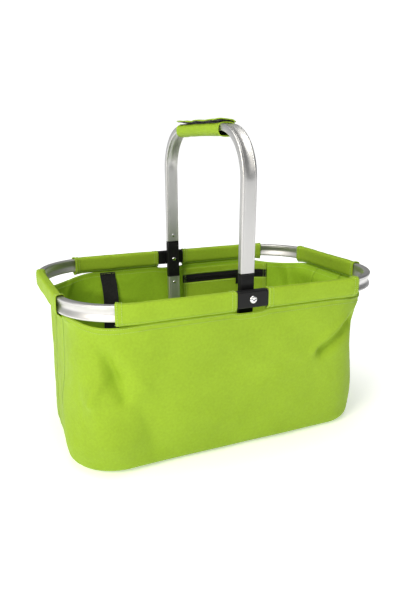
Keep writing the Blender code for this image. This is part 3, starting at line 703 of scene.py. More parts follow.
def woven_cloth(name, colour, deep, light, thread, relief, roughness, fuzz):
    """Coated plain-weave cloth: crossing threads at their own pitch, uneven dye, slight
    creasing of the coating. The map is in metres, so the weave keeps its size."""
    cloth, new, link = blank_finish(name)
    weave_map = new("ShaderNodeUVMap")
    weave_map.label = "metres over the cloth"
    weave_map.uv_map = "run"
    weft = new("ShaderNodeTexWave")
    weft.label = "weft threads"
    weft.wave_type = "BANDS"
    weft.bands_direction = "X"
    weft.inputs["Scale"].default_value = WAVE_PITCH / thread
    weft.inputs["Distortion"].default_value = 0.6
    weft.inputs["Detail Scale"].default_value = 1.5
    warp = new("ShaderNodeTexWave")
    warp.label = "warp threads"
    warp.wave_type = "BANDS"
    warp.bands_direction = "Y"
    warp.inputs["Scale"].default_value = WAVE_PITCH / thread
    warp.inputs["Distortion"].default_value = 0.6
    warp.inputs["Detail Scale"].default_value = 1.5
    over_under = new("ShaderNodeMath")
    over_under.label = "one thread over the other"
    over_under.operation = "MAXIMUM"
    threads = new("ShaderNodeBump")
    threads.label = "height of the threads"
    threads.inputs["Strength"].default_value = 0.5
    threads.inputs["Distance"].default_value = relief
    place = new("ShaderNodeTexCoord")
    place.label = "place on the cloth"
    dye = new("ShaderNodeTexNoise")
    dye.label = "uneven dye"
    dye.inputs["Scale"].default_value = 14.0
    dye.inputs["Detail"].default_value = 5.0
    slub = new("ShaderNodeTexNoise")
    slub.label = "slubs in the yarn"
    slub.inputs["Scale"].default_value = 330.0
    slub.inputs["Detail"].default_value = 2.0
    mixed = new("ShaderNodeMix")
    mixed.label = "dye and slubs together"
    mixed.data_type = "FLOAT"
    mixed.inputs["Factor"].default_value = 0.5
    tone = new("ShaderNodeValToRGB")
    tone.label = "dye from deep to light"
    tone.color_ramp.elements[0].position = 0.32
    tone.color_ramp.elements[0].color = (*[c * deep for c in colour], 1.0)
    tone.color_ramp.elements[1].position = 0.68
    tone.color_ramp.elements[1].color = (*[c * light for c in colour], 1.0)
    crumple = new("ShaderNodeTexNoise")
    crumple.label = "crumpled coating"
    crumple.inputs["Scale"].default_value = 75.0
    crumple.inputs["Detail"].default_value = 4.0
    crumpled = new("ShaderNodeBump")
    crumpled.label = "height of the crumples"
    crumpled.inputs["Strength"].default_value = 0.5
    crumpled.inputs["Distance"].default_value = 0.0007
    sheen = new("ShaderNodeMapRange")
    sheen.label = "coating gloss"
    sheen.inputs["From Min"].default_value = 0.3
    sheen.inputs["From Max"].default_value = 0.7
    sheen.inputs["To Min"].default_value = roughness - 0.06
    sheen.inputs["To Max"].default_value = roughness + 0.08
    shader = new("ShaderNodeBsdfPrincipled")
    shader.label = "coated cloth"
    shader.inputs["Specular IOR Level"].default_value = 0.16
    shader.inputs["Sheen Weight"].default_value = fuzz
    shader.inputs["Sheen Roughness"].default_value = 0.5
    out = new("ShaderNodeOutputMaterial")
    out.label = "surface"
    weave_frame, dye_frame, coat_frame = new("NodeFrame"), new("NodeFrame"), new("NodeFrame")
    weave_frame.label, dye_frame.label, coat_frame.label = "weave", "dye", "coating"
    weave_map.parent = weft.parent = warp.parent = over_under.parent = threads.parent = weave_frame
    place.parent = dye.parent = slub.parent = mixed.parent = tone.parent = dye_frame
    crumple.parent = crumpled.parent = sheen.parent = coat_frame
    lay_out((weave_map, weft, warp, over_under, threads, place, dye, slub, mixed, tone,
             crumple, crumpled, sheen, shader, out), 5)
    link(weave_map.outputs["UV"], weft.inputs["Vector"])
    link(weave_map.outputs["UV"], warp.inputs["Vector"])
    link(weft.outputs["Fac"], over_under.inputs[0])
    link(warp.outputs["Fac"], over_under.inputs[1])
    link(over_under.outputs["Value"], threads.inputs["Height"])
    link(place.outputs["Object"], dye.inputs["Vector"])
    link(place.outputs["Object"], slub.inputs["Vector"])
    link(dye.outputs["Fac"], mixed.inputs["A"])
    link(slub.outputs["Fac"], mixed.inputs["B"])
    link(mixed.outputs["Result"], tone.inputs["Fac"])
    link(tone.outputs["Color"], shader.inputs["Base Color"])
    link(place.outputs["Object"], crumple.inputs["Vector"])
    link(crumple.outputs["Fac"], crumpled.inputs["Height"])
    link(threads.outputs["Normal"], crumpled.inputs["Normal"])
    link(crumpled.outputs["Normal"], shader.inputs["Normal"])
    link(crumple.outputs["Fac"], sheen.inputs["Value"])
    link(sheen.outputs["Result"], shader.inputs["Roughness"])
    link(shader.outputs["BSDF"], out.inputs["Surface"])
    return cloth


lime_canvas = woven_cloth("lime_canvas", (0.330, 0.505, 0.030), 0.88, 1.09, 0.0009, 0.0002, 0.60, 0.0)

BAR_Z = RIM_Z + UPPER_REACH - DEEP / 2
GRIP = 0.0720
WRAP_HALF_WIDE, WRAP_HALF_TALL, WRAP_DROP, WRAP_THICK = 0.0126, 0.00845, 0.00235, 0.0011


def soft(p, size, seed=0.0):
    """Smooth unevenness of about that size, from -1 to 1."""
    return noise.noise(Vector((p[0], p[1], p[2])) / size + Vector((seed, 3.1 * seed, -seed)))


def wrap_ring(y, grow, n=56):
    """Rounded loop round the bar: higher under it, slack and puckered, ends flared open."""
    near_end = max(0.0, 1 - (GRIP - abs(y)) / 0.012)
    ring = []
    for i in range(n):
        t = 2 * math.pi * i / n
        c, s = math.cos(t), math.sin(t)
        x = (WRAP_HALF_WIDE + grow) * math.copysign(abs(c) ** 0.62, c)
        z = (WRAP_HALF_TALL + grow) * math.copysign(abs(s) ** 0.72, s)
        low = max(0.0, -s)
        slack = 0.0006 * soft((x, y, z), 0.020, 2.0) + 0.00015 * soft((x, y, z), 0.008, 5.0)
        pinch = -0.0003 * max(0.0, -c) * (0.5 + 0.5 * math.cos(2 * math.pi * y / 0.021))
        out = 1 + (slack + pinch) / 0.0105 + 0.05 * near_end ** 2
        ring.append(Vector((x * out, y, BAR_Z - WRAP_DROP - 0.0007 * near_end * low + z * out)))
    return ring


bm = bmesh.new()
stops = [-GRIP + 2 * GRIP * i / 88 for i in range(89)]
cover = loft(bm, [wrap_ring(y, 0.0) for y in stops])
lining = loft(bm, [wrap_ring(y, -WRAP_THICK) for y in stops])
bridge(bm, cover[0], lining[0])
bridge(bm, cover[-1], lining[-1])
grip_cover = make_piece(bm, "grip_wrap_cover", lime_canvas, 60.0)
fit(grip_cover, "carrying_loop", "fabric", "grip_wrap")

# ------------------------------------------------------------------ grip fastening
# Over the wrap: a black hook strip sewn on it, a flap of canvas hinged along its right
# edge, and a black loop strip sewn inside the flap, whose free edge never lies quite flat.
fastener_black = woven_cloth("fastener_black", (0.012, 0.012, 0.013), 0.8, 1.5, 0.0007, 0.0003, 0.85,
                             0.3)


def face_out(bm, out):
    """Turn a sheet's faces over if most of them look against the direction out(place)."""
    bm.normal_update()
    if sum(f.normal.dot(out(f.calc_center_median())) for f in bm.faces) < 0:
        bmesh.ops.reverse_faces(bm, faces=bm.faces)


def thin_wall(piece, thick, lining=None):
    """A live thickness inward from a sheet's faces, in a finish of its own if one is given."""
    wall = piece.modifiers.new("cloth thickness", "SOLIDIFY")
    wall.thickness = thick
    wall.offset = -1.0
    if lining:
        piece.data.materials.append(lining)
        wall.material_offset = 1


def cloth_sheet(name, rows, finish, thick, body, nodes, role="fabric", out=None, lining=None):
    """An open sheet through rows of points, its face toward out, with a thin wall."""
    bm = bmesh.new()
    loft(bm, rows, wrap=False)
    face_out(bm, out)
    piece = make_piece(bm, name, finish, 50.0, solid=False)
    thin_wall(piece, thick, lining)
    return fit(piece, body, role, *nodes)


def up_way(_):
    return UP


TOP_Z = BAR_Z + DEEP / 2


def flap_rows(half_x, half_y, rise, lift, base, nx=14, ny=66):
    """Rows of a strip along Y, hinged at +X, its free edge lifting in waves."""
    rows = []
    for j in range(ny + 1):
        y = -half_y + 2 * half_y * j / ny
        wave = 0.5 + 0.5 * math.sin(2 * math.pi * (y + 0.060) / 0.047) * math.cos(y * 31.0)
        row = []
        for i in range(nx + 1):
            f = i / nx
            x = half_x - 2 * half_x * f
            z = base + rise * (1 - (2 * f - 1) ** 2)
            z += lift * (0.25 + 0.75 * wave) * ease((f - 0.25) / 0.75)
            z += 0.00055 * soft((x, y, 0.0), 0.011, 7.0) * (0.4 + 0.6 * f)
            corner = ease((y - 0.030) / 0.030) * ease((f - 0.45) / 0.5)
            z += 0.0010 * corner - 0.0020 * (1 - ease(f / 0.20))
            x += 0.0012 * soft((0.0, y, 0.0), 0.013, 9.0) * f
            row.append(Vector((x, y, z)))
        rows.append(row)
    return rows


HOOK_WIDE, HOOK_LONG, HOOK_UP = 0.0184, 0.136, 0.0021
LOOP_HALF_WIDE, LOOP_HALF_LONG, LOOP_UP = 0.0117, 0.0705, 0.0030
FLAP_HALF_WIDE, FLAP_HALF_LONG, FLAP_UP = 0.0128, 0.0722, 0.0046
hook_rows = [[Vector((HOOK_WIDE / 2 - HOOK_WIDE * i / 8, -HOOK_LONG / 2 + HOOK_LONG * j / 40,
                      TOP_Z + HOOK_UP + 0.0002 * soft((i * 0.002, j * 0.003, 0), 0.009)))
              for i in range(9)] for j in range(41)]
hook_strip = cloth_sheet("grip_hook_strip_sewn", hook_rows, fastener_black, 0.0006, "carrying_loop",
                         ["grip_hook_strip"], "webbing", up_way)
loop_rows = flap_rows(LOOP_HALF_WIDE, LOOP_HALF_LONG, 0.0007, 0.0017, TOP_Z + LOOP_UP)
loop_strip = cloth_sheet("grip_flap_loop_strip", loop_rows, fastener_black, 0.0006, "grip_flap",
                         ["grip_flap_lining"], "webbing", up_way)
cover_rows = flap_rows(FLAP_HALF_WIDE, FLAP_HALF_LONG, 0.0009, 0.0019, TOP_Z + FLAP_UP)
grip_flap = cloth_sheet("grip_flap_cover", cover_rows, lime_canvas, 0.0013, "grip_flap", ["grip_flap"],
                        "fabric", up_way)
for layer, lies_at in ((loop_strip, LOOP_UP), (grip_flap, FLAP_UP)):
    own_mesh(layer)

# ------------------------------------------------------------------ bag walls
# The bag is cut from coated polyester canvas: a front, a back and two end panels, sewn
# together down the ends and hemmed at the top. Their inner faces are a greener colour that
# is painted shade, the green of light bounced about inside the bag. It is soft, so it keeps
# storage creases, a bulge low at the front left and a hollow above it.
BAG_TOP, CLOTH, TURN, HEM_DEEP = 0.2080, 0.0008, 0.0130, 0.0092
SEAM_Y = 0.030


def bag_plan(z):
    """Half sizes and corner radius of the bag's outside at a height: it narrows downward."""
    s = max(0.0, (BAG_TOP - z) / BAG_TOP)
    a = 0.2152 + 0.0018 * math.sin(math.pi * min(z / 0.19, 1.0))
    return a, 0.1460 - 0.0290 * s ** 1.5, 0.0880 - 0.0260 * s ** 1.5


def leaning(key, p):
    """The end walls reach out to the rim at the top, the left end swells low down, and the
    right end's front corner is drawn in below its sleeve and less towards its foot."""
    side, at = key
    if side in ("left", "right"):
        share = 1.0
    elif side in CORNERS:
        share = ease(1 - min(at if side in ("fl", "br") else 90 - at, 90.0) / 26.0)
    else:
        share = 0.0
    near = max(0.0, 1 - (BAG_TOP - p.z) / 0.020)
    push = math.copysign(0.0103 * near ** 2 * share, p.x)
    foot = max(0.0, 1 - p.z / 0.115) ** 1.5 * (0.45 + 0.55 * ease(p.z / 0.045))
    left = ease((-p.x - 0.125) / 0.075)
    front = ease((0.06 - p.y) / 0.10)
    drawn_in = 0.0085 * ease((0.202 - p.z) / 0.042) * ease((p.z - 0.015) / 0.115)
    push -= drawn_in * ease((p.x - 0.160) / 0.045) * front
    return Vector((push - 0.0095 * foot * left * (0.35 + 0.65 * front),
                   -0.0035 * foot * left * front * ease((-p.y - 0.06) / 0.04), 0.0))


def free_edge(key):
    """Height of the bag's hemmed edge, which sags between the sleeves."""
    if key[0] in CORNERS:
        return BAG_TOP - 0.0060 * math.sin(math.radians(2 * key[1])) ** 2
    if key[0] in ("front", "back"):
        return BAG_TOP - 0.0028 * max(0.0, 1 - (key[1] / 0.2) ** 4)
    return BAG_TOP


# Creases: the line each follows, how deep (inward) and how wide it is. A negative depth
# is a ridge or a bulge.
CREASES = (
    (((-0.207, -0.118, 0.196), (-0.194, -0.128, 0.168), (-0.166, -0.133, 0.110)), 0.0076, 0.0066),
    (((-0.205, -0.122, 0.172), (-0.190, -0.124, 0.140), (-0.196, -0.110, 0.105)), -0.0060, 0.0074),
    (((-0.187, -0.127, 0.158), (-0.176, -0.129, 0.138)), 0.0084, 0.0135),
    (((-0.172, -0.130, 0.176), (-0.138, -0.135, 0.124)), -0.0020, 0.0090),
    (((-0.190, -0.110, 0.104), (-0.176, -0.116, 0.050)), -0.0092, 0.0270),
    (((-0.146, -0.132, 0.098), (-0.122, -0.126, 0.030)), 0.0024, 0.0110),
    (((-0.216, -0.045, 0.080), (-0.210, -0.075, 0.040)), -0.0060, 0.0330),
    (((-0.205, -0.085, 0.120), (-0.198, -0.098, 0.075)), 0.0016, 0.0080),
    (((0.170, -0.134, 0.170), (0.148, -0.139, 0.152), (0.118, -0.139, 0.134)), 0.0105, 0.0090),
    (((0.178, -0.124, 0.194), (0.146, -0.140, 0.172), (0.1025, -0.140, 0.136)), -0.0040, 0.0060),
    (((0.2060, -0.096, 0.186), (0.190, -0.108, 0.150)), 0.0058, 0.0170),
    (((0.2100, -0.070, 0.172), (0.2080, -0.080, 0.140)), 0.0046, 0.0300),
    (((0.184, -0.112, 0.176), (0.172, -0.118, 0.128)), -0.0020, 0.0070),
    (((0.204, -0.080, 0.100), (0.198, -0.085, 0.050)), -0.0018, 0.0200),
    (((0.186, -0.100, 0.090), (0.168, -0.110, 0.030)), 0.0014, 0.0090),
    (((-0.164, -0.140, 0.195), (-0.050, -0.140, 0.179), (0.115, -0.139, 0.156)), 0.0007, 0.0026),
    (((-0.060, -0.136, 0.150), (0.020, -0.132, 0.112), (0.066, -0.126, 0.086)), 0.0014, 0.0150),
    (((-0.090, -0.128, 0.074), (-0.010, -0.124, 0.048)), -0.0014, 0.0160),
    (((0.040, -0.136, 0.166), (0.090, -0.134, 0.120)), -0.0012, 0.0150),
    (((0.173, 0.133, 0.204), (0.183, 0.131, 0.183), (0.194, 0.124, 0.152)), 0.0030, 0.0042),
    (((0.196, 0.118, 0.204), (0.203, 0.108, 0.160)), -0.0030, 0.0080),
    (((0.207, 0.100, 0.204), (0.210, 0.090, 0.150)), 0.0030, 0.0050),
    (((-0.170, 0.134, 0.205), (-0.186, 0.130, 0.176), (-0.188, 0.122, 0.140)), 0.0034, 0.0052),
    (((-0.140, 0.140, 0.180), (-0.110, 0.139, 0.164), (-0.070, 0.138, 0.158)), 0.0020, 0.0060),
    (((-0.120, 0.138, 0.158), (-0.060, 0.136, 0.146)), -0.0014, 0.0080),
    (((0.010, 0.130, 0.120), (0.090, 0.120, 0.060)), 0.0016, 0.0140),
    (((-0.216, 0.020, 0.190), (-0.217, 0.050, 0.120), (-0.214, 0.060, 0.060)), 0.0026, 0.0200),
    (((0.216, 0.020, 0.185), (0.217, -0.010, 0.120), (0.216, 0.010, 0.060)), 0.0026, 0.0240),
    (((-0.216, -0.030, 0.202), (-0.216, -0.030, 0.014)), 0.0009, 0.0016),
    (((-0.216, 0.030, 0.202), (-0.216, 0.030, 0.014)), 0.0009, 0.0016),
    (((0.216, -0.030, 0.202), (0.216, -0.030, 0.014)), 0.0009, 0.0016),
    (((0.216, 0.030, 0.202), (0.216, 0.030, 0.014)), 0.0009, 0.0016),
)
CREASE_LINES = [([Vector(p) for p in line], depth, wide) for line, depth, wide in CREASES]


def to_line(p, line):
    """Distance from a point to a line of straight stretches, at most 1 m."""
    best = 1.0
    for a, b in zip(line, line[1:]):
        ab = b - a
        t = max(0.0, min(1.0, (p - a).dot(ab) / ab.length_squared))
        best = min(best, (p - a - ab * t).length)
    return best


def drape(p):
    """How far the cloth stands out from its cut shape at a point, in metres."""
    z = p.z
    held = ease((BAG_TOP + 0.001 - z) / 0.022)
    low = ease(z / 0.012)
    out = 0.0022 * soft(p, 0.110, 1.0) + 0.0005 * soft(p, 0.040, 4.0)
    fold = soft(p + Vector((0, 0, p.x * 0.35)), 0.060, 11.0)
    out -= 0.0004 * max(0.0, 1 - abs(fold) / 0.12) ** 1.5
    fold = soft(p - Vector((0, 0, p.x * 0.5)), 0.038, 17.0)
    out -= 0.0002 * max(0.0, 1 - abs(fold) / 0.10) ** 1.5
    for line, depth, wide in CREASE_LINES:
        d = to_line(p, line)
        if d < 3.2 * wide:
            out -= depth * math.exp(-(d / wide) ** 1.6)
    out += 0.0006 * ease((0.030 - z) / 0.03) * math.sin(p.x * 61.0 + p.y * 23.0)
    hem = 0.00045 if z > BAG_TOP - HEM_DEEP else 0.0
    return out * held * low + hem


def wall_point(key, depth, extra=0.0):
    """Point of a wall: depth from 0 at the free edge to 1 at the end of the turned foot."""
    top = free_edge(key)
    straight = top - TURN
    foot = TURN * math.pi / 2
    s = depth * (straight + foot)
    if s <= straight:
        z, inset, slope = top - s, 0.0, 0.0
    else:
        slope = (s - straight) / TURN
        z, inset = TURN * (1 - math.sin(slope)), TURN * (1 - math.cos(slope))
    a, b, c = bag_plan(z)
    p, out = outline(key, a - inset, b - inset, c - inset)
    p.z = z
    way = out * math.cos(slope) - UP * math.sin(slope)
    p = p + way * (drape(p) + extra) + leaning(key, p)
    p.z = max(p.z, 0.0)
    return p


def bag_out(at):
    """Roughly outward from the bag's middle."""
    return Vector((at.x * 0.6, at.y, 0.0))


PAST_SEAM = (SEAM_Y, 0.038, 0.046, 0.053)
front_keys = ([("left", -y) for y in PAST_SEAM] + run("fl", 0, 90, 46) + run("front", -1, 1, 76)[1:]
              + run("fr", 0, 90, 46)[1:] + [("right", -y) for y in PAST_SEAM[::-1]])
back_keys = ([("right", y) for y in PAST_SEAM] + run("br", 0, 90, 46) + run("back", 1, -1, 76)[1:]
             + run("bl", 0, 90, 46)[1:] + [("left", y) for y in PAST_SEAM[::-1]])
left_end_keys = run("left", SEAM_Y, -SEAM_Y, 22)
right_end_keys = run("right", -SEAM_Y, SEAM_Y, 22)
# Painted shade: the inner faces of the walls get a greener colour that stands in for the green light
# bounced about inside the bag.
lining_painted_green_shade = woven_cloth("lining_painted_green_shade", (0.320, 0.540, 0.025), 0.90, 1.08, 0.0009, 0.00015, 0.60, 0.0)
WALL_LEVELS = 70
for name, keys in (("bag_front_panel", front_keys), ("bag_back_panel", back_keys),
                   ("bag_left_end_panel", left_end_keys), ("bag_right_end_panel", right_end_keys)):
    rows = [[wall_point(k, i / WALL_LEVELS) for i in range(WALL_LEVELS + 1)] for k in keys]
    cloth_sheet(name + "_cloth", rows, lime_canvas, CLOTH, "basket", [name], "fabric",
                              bag_out, lining_painted_green_shade)

# The bag's seams and hems are lockstitch in lime thread. One tree lays a row of stitches
# along each line, each stitch a short round-ended length of thread.
stitch_tree = bpy.data.node_groups.new("stitch_row", "GeometryNodeTree")
asks(stitch_tree, "Seam lines", "Geometry")
stitch_spacing = asks(stitch_tree, "Spacing", "Float")
stitch_length = asks(stitch_tree, "Stitch length", "Float")
stitch_thread = asks(stitch_tree, "Thread", "Float")
stitch_finish = asks(stitch_tree, "Finish", "Material")
stitch_tree.interface.new_socket("Stitches", in_out="OUTPUT", socket_type="NodeSocketGeometry")
new, link = stitch_tree.nodes.new, stitch_tree.links.new
asked, given = new("NodeGroupInput"), new("NodeGroupOutput")
line = new("GeometryNodeMeshToCurve")
line.label = "seam lines"
marks = new("GeometryNodeCurveToPoints")
marks.label = "one mark per stitch"
marks.mode = "LENGTH"
stitch = new("GeometryNodeMeshUVSphere")
stitch.label = "one stitch"
stitch.inputs["Segments"].default_value = 6
stitch.inputs["Rings"].default_value = 4
stitch.inputs["Radius"].default_value = 0.5
stitch_size = new("ShaderNodeCombineXYZ")
stitch_size.label = "stitch size"
along = new("FunctionNodeAlignRotationToVector")
along.label = "lie along the seam"
along.axis = "Z"
sewn = new("GeometryNodeInstanceOnPoints")
sewn.label = "sew the row"
smooth = new("GeometryNodeSetShadeSmooth")
smooth.label = "round thread"
real = new("GeometryNodeRealizeInstances")
real.label = "make them real"
yarn = new("GeometryNodeSetMaterial")
yarn.label = "thread"
lay_out((asked, line, marks, stitch, stitch_size, along, sewn, smooth, real, yarn, given), 6)
link(asked.outputs["Seam lines"], line.inputs["Mesh"])
link(line.outputs["Curve"], marks.inputs["Curve"])
link(asked.outputs["Spacing"], marks.inputs["Length"])
link(asked.outputs["Thread"], stitch_size.inputs["X"])
link(asked.outputs["Thread"], stitch_size.inputs["Y"])
link(asked.outputs["Stitch length"], stitch_size.inputs["Z"])
link(marks.outputs["Points"], sewn.inputs["Points"])
link(stitch.outputs["Mesh"], sewn.inputs["Instance"])
link(marks.outputs["Tangent"], along.inputs["Vector"])
link(along.outputs["Rotation"], sewn.inputs["Rotation"])
link(stitch_size.outputs["Vector"], sewn.inputs["Scale"])
link(sewn.outputs["Instances"], smooth.inputs["Geometry"])
link(smooth.outputs["Geometry"], real.inputs["Geometry"])
link(real.outputs["Geometry"], yarn.inputs["Geometry"])
link(asked.outputs["Finish"], yarn.inputs["Material"])
link(yarn.outputs["Geometry"], given.inputs["Stitches"])


def spun_thread(name, colour, roughness):
    """Twisted polyester thread: light and dark plies, faint fuzz."""
    spun, new, link = blank_finish(name)
    place = new("ShaderNodeTexCoord")
    place.label = "place on the thread"
    twist = new("ShaderNodeTexNoise")
    twist.label = "twist of the plies"
    twist.inputs["Scale"].default_value = 2200.0
    tone = new("ShaderNodeValToRGB")
    tone.label = "between the plies"
    tone.color_ramp.elements[0].position = 0.35
    tone.color_ramp.elements[0].color = (*[c * 0.75 for c in colour], 1.0)
    tone.color_ramp.elements[1].position = 0.65
    tone.color_ramp.elements[1].color = (*colour, 1.0)
    ply = new("ShaderNodeBump")
    ply.label = "height of the plies"
    ply.inputs["Distance"].default_value = 0.00005
    shader = new("ShaderNodeBsdfPrincipled")
    shader.label = "thread"
    shader.inputs["Roughness"].default_value = roughness
    shader.inputs["Sheen Weight"].default_value = 0.2
    out = new("ShaderNodeOutputMaterial")
    out.label = "surface"
    ply_frame = new("NodeFrame")
    ply_frame.label = "plies"
    place.parent = twist.parent = tone.parent = ply.parent = ply_frame
    lay_out((place, twist, tone, ply, shader, out), 6)
    link(place.outputs["Object"], twist.inputs["Vector"])
    link(twist.outputs["Fac"], tone.inputs["Fac"])
    link(tone.outputs["Color"], shader.inputs["Base Color"])
    link(twist.outputs["Fac"], ply.inputs["Height"])
    link(ply.outputs["Normal"], shader.inputs["Normal"])
    link(shader.outputs["BSDF"], out.inputs["Surface"])
    return spun


lime_thread = spun_thread("lime_thread", (0.50, 0.70, 0.15), 0.6)


def sew(name, lines, body, thread, spacing=0.0030, length=0.0024, thick=0.0008, role="fabric"):
    """Rows of stitches along lines of points, as one piece."""
    verts, edges = [], []
    for path in lines:
        first = len(verts)
        verts += [tuple(p) for p in path]
        edges += [(first + i, first + i + 1) for i in range(len(path) - 1)]
    guide = bpy.data.meshes.new(name + "_lines")
    guide.from_pydata(verts, edges, [])
    row = grown(guide, name, stitch_tree, {stitch_spacing: spacing, stitch_length: length,
                                           stitch_thread: thick, stitch_finish: thread})
    return fit(row, body, role)


def wall_length(key):
    """Length of the wall's cloth from its free edge down to the end of its turned foot."""
    return free_edge(key) - TURN + TURN * math.pi / 2


hem_lines, seam_lines = [], []
PROUD = 0.0002
for keys in (front_keys, back_keys, left_end_keys, right_end_keys):
    for drop in (0.0022, 0.0078):
        for lay in (PROUD, -CLOTH - PROUD):
            hem_lines.append([wall_point(k, drop / wall_length(k), lay) for k in keys])
for side in ("left", "right"):
    for y in (SEAM_Y + 0.0018, SEAM_Y + 0.0052, -SEAM_Y - 0.0018, -SEAM_Y - 0.0052):
        key = (side, y)
        seam_lines.append([wall_point(key, 0.045 + 0.89 * i / 90, PROUD) for i in range(91)])
hems = sew("bag_hem_stitching", hem_lines, "basket", lime_thread)
seams = sew("bag_seam_stitching", seam_lines, "basket", lime_thread)

# ------------------------------------------------------------------ bag floor
# A canvas floor sewn to the walls' feet, and on it the loose stiffening board: grey
# pressed fibre, 3 mm thick.


def plan_ring(z, inset, steps=20):
    """Outline of the bag's foot at a height, set in all round."""
    a, b, c = bag_plan(0.0)
    a, b, c = a - inset, b - inset, max(c - inset, 0.010)
    keys = (run("front", -1, 1, 24) + run("fr", 0, 90, steps)[1:] + run("right", -(b - c), b - c, 6)[1:-1]
            + run("br", 0, 90, steps) + run("back", 1, -1, 24)[1:] + run("bl", 0, 90, steps)[1:]
            + run("left", b - c, -(b - c), 6)[1:-1] + run("fl", 0, 90, steps)[:-1])
    points = []
    for k in keys:
        p = outline(k, a, b, c)[0]
        p.z = z
        points.append(p + leaning(k, p))
    return points


bm = bmesh.new()
uv = bm.loops.layers.uv.new("run")
FLOOR_Z = 0.00095
floor_rings = []
for share in (1.0, 0.9, 0.75, 0.6, 0.45, 0.3, 0.15):
    ring = []
    for p in plan_ring(0.0, TURN):
        x, y = p.x * share, p.y * share
        ring.append(bm.verts.new((x, y, FLOOR_Z + 0.0001 * soft((x, y, 0), 0.05))))
    floor_rings.append(ring)
for one, two in zip(floor_rings, floor_rings[1:]):
    bridge(bm, one, two)
bm.faces.new(floor_rings[-1])
for f in bm.faces:
    for corner in f.loops:
        corner[uv].uv = (corner.vert.co.x, corner.vert.co.y)
face_out(bm, up_way)
bag_floor = make_piece(bm, "bag_floor_cloth", lime_canvas, 50.0, solid=False)
thin_wall(bag_floor, CLOTH)
fit(bag_floor, "basket", "fabric", "bag_floor_panel")

fibre, new, link = blank_finish("pressed_fibre")
place = new("ShaderNodeTexCoord")
place.label = "place on the board"
flecks = new("ShaderNodeTexNoise")
flecks.label = "flecks of fibre"
flecks.inputs["Scale"].default_value = 260.0
flecks.inputs["Detail"].default_value = 6.0
tone = new("ShaderNodeValToRGB")
tone.label = "grey, flecked"
tone.color_ramp.elements[0].position = 0.35
tone.color_ramp.elements[0].color = (0.10, 0.10, 0.10, 1.0)
tone.color_ramp.elements[1].position = 0.65
tone.color_ramp.elements[1].color = (0.20, 0.20, 0.195, 1.0)
pressed = new("ShaderNodeBump")
pressed.label = "pressed surface"
pressed.inputs["Strength"].default_value = 0.4
pressed.inputs["Distance"].default_value = 0.0002
shader = new("ShaderNodeBsdfPrincipled")
shader.label = "board"
shader.inputs["Roughness"].default_value = 0.8
out = new("ShaderNodeOutputMaterial")
out.label = "surface"
fibre_frame = new("NodeFrame")
fibre_frame.label = "fibre"
place.parent = flecks.parent = tone.parent = pressed.parent = fibre_frame
lay_out((place, flecks, tone, pressed, shader, out), 6)
link(place.outputs["Object"], flecks.inputs["Vector"])
link(flecks.outputs["Fac"], tone.inputs["Fac"])
link(tone.outputs["Color"], shader.inputs["Base Color"])
link(flecks.outputs["Fac"], pressed.inputs["Height"])
link(pressed.outputs["Normal"], shader.inputs["Normal"])
link(shader.outputs["BSDF"], out.inputs["Surface"])

BOARD_INSET = 0.0086
BOARD_EDGE = ((0.00128, 0.0004), (0.00160, 0.0), (0.00390, 0.0), (0.00430, 0.0006))
bm = bmesh.new()
rows = loft(bm, [plan_ring(z, BOARD_INSET + off) for z, off in BOARD_EDGE])
bm.faces.new(rows[0])
bm.faces.new(rows[-1])
fit(make_piece(bm, "base_board_pressed", fibre), "basket", "board", "base_board")

# ------------------------------------------------------------------ rim sleeves
# Six canvas tunnels carry the bag on the rim: two on each long side, meeting at the
# bracket, and one at each end. Each is doubled over, sewn shut under the tube and
# hemmed at both ends, and stands a little open over the bends.


def sleeve_ring(key, from_end, grow=0.0, n=52):
    """Loop of the tunnel round the tube, from the seam below it and round its outside."""
    p, out = outline(key, RIM_A, RIM_B, RIM_C)
    p.z = RIM_Z
    bend = 1.0 if key[0] in CORNERS else 0.0
    open_end = max(0.0, 1 - from_end / 0.011)
    ring = []
    for i in range(n):
        t = -math.pi / 2 + 2 * math.pi * i / n
        c, s = math.cos(t), math.sin(t)
        d = (0.0056 + grow) * math.copysign(abs(c) ** 0.50, c)
        h = (0.0112 + grow) * math.copysign(abs(s) ** 0.42, s)
        tail = math.exp(-((i if i < n / 2 else n - i) / 2.6) ** 2)
        at = p + out * d + UP * h
        ease_out = 0.00075 * soft(at, 0.030, 21.0) + 0.00045 * soft(at, 0.012, 25.0)
        ease_out += 0.0004 * math.sin(0.5 * math.pi * min(from_end / 0.02, 1.0))
        hem = 0.00030 if from_end < 0.0088 else 0.0
        flare = (0.0004 + 0.0010 * bend) * open_end ** 1.5
        grow_by = 1 + (ease_out + hem + flare) / 0.0095
        side = d * grow_by * (1 - 0.75 * tail)
        up = h * (1 + (ease_out * 0.6 + hem + flare) / 0.0130) - 0.0037 * tail
        ring.append(p + out * side + UP * up)
    return ring


def key_run(keys):
    """Distance along the rim at each key."""
    places = [outline(key, RIM_A, RIM_B, RIM_C)[0] for key in keys]
    far = [0.0]
    for p, q in zip(places, places[1:]):
        far.append(far[-1] + (q - p).length)
    return far


BRACKET_GAP, SLEEVE_THICK, SLEEVE_PROUD = 0.0006, 0.0007, 0.0003
near = (BRACKET + BRACKET_GAP) / (RIM_A - RIM_C)
half = RIM_B - RIM_C
SLEEVES = (
    ("sleeve_front_left", run("fl", 67.5, 90, 14) + run("front", -1, -near, 50)[1:]),
    ("sleeve_front_right", run("front", near, 1, 50) + run("fr", 0, 16, 10)[1:]),
    ("sleeve_back_right", run("br", 67.5, 90, 14) + run("back", 1, near, 50)[1:]),
    ("sleeve_back_left", run("back", -near, -1, 50) + run("bl", 0, 16, 10)[1:]),
    ("sleeve_left_end", run("bl", 78, 90, 8) + run("left", half, -half, 48)[1:]
     + run("fl", 0, 12, 8)[1:]),
    ("sleeve_right_end", run("fr", 86, 90, 3) + run("right", -half, half, 48)[1:]
     + run("br", 0, 18, 12)[1:]),
)


def off_rim(at):
    return UP * (at.z - RIM_Z)


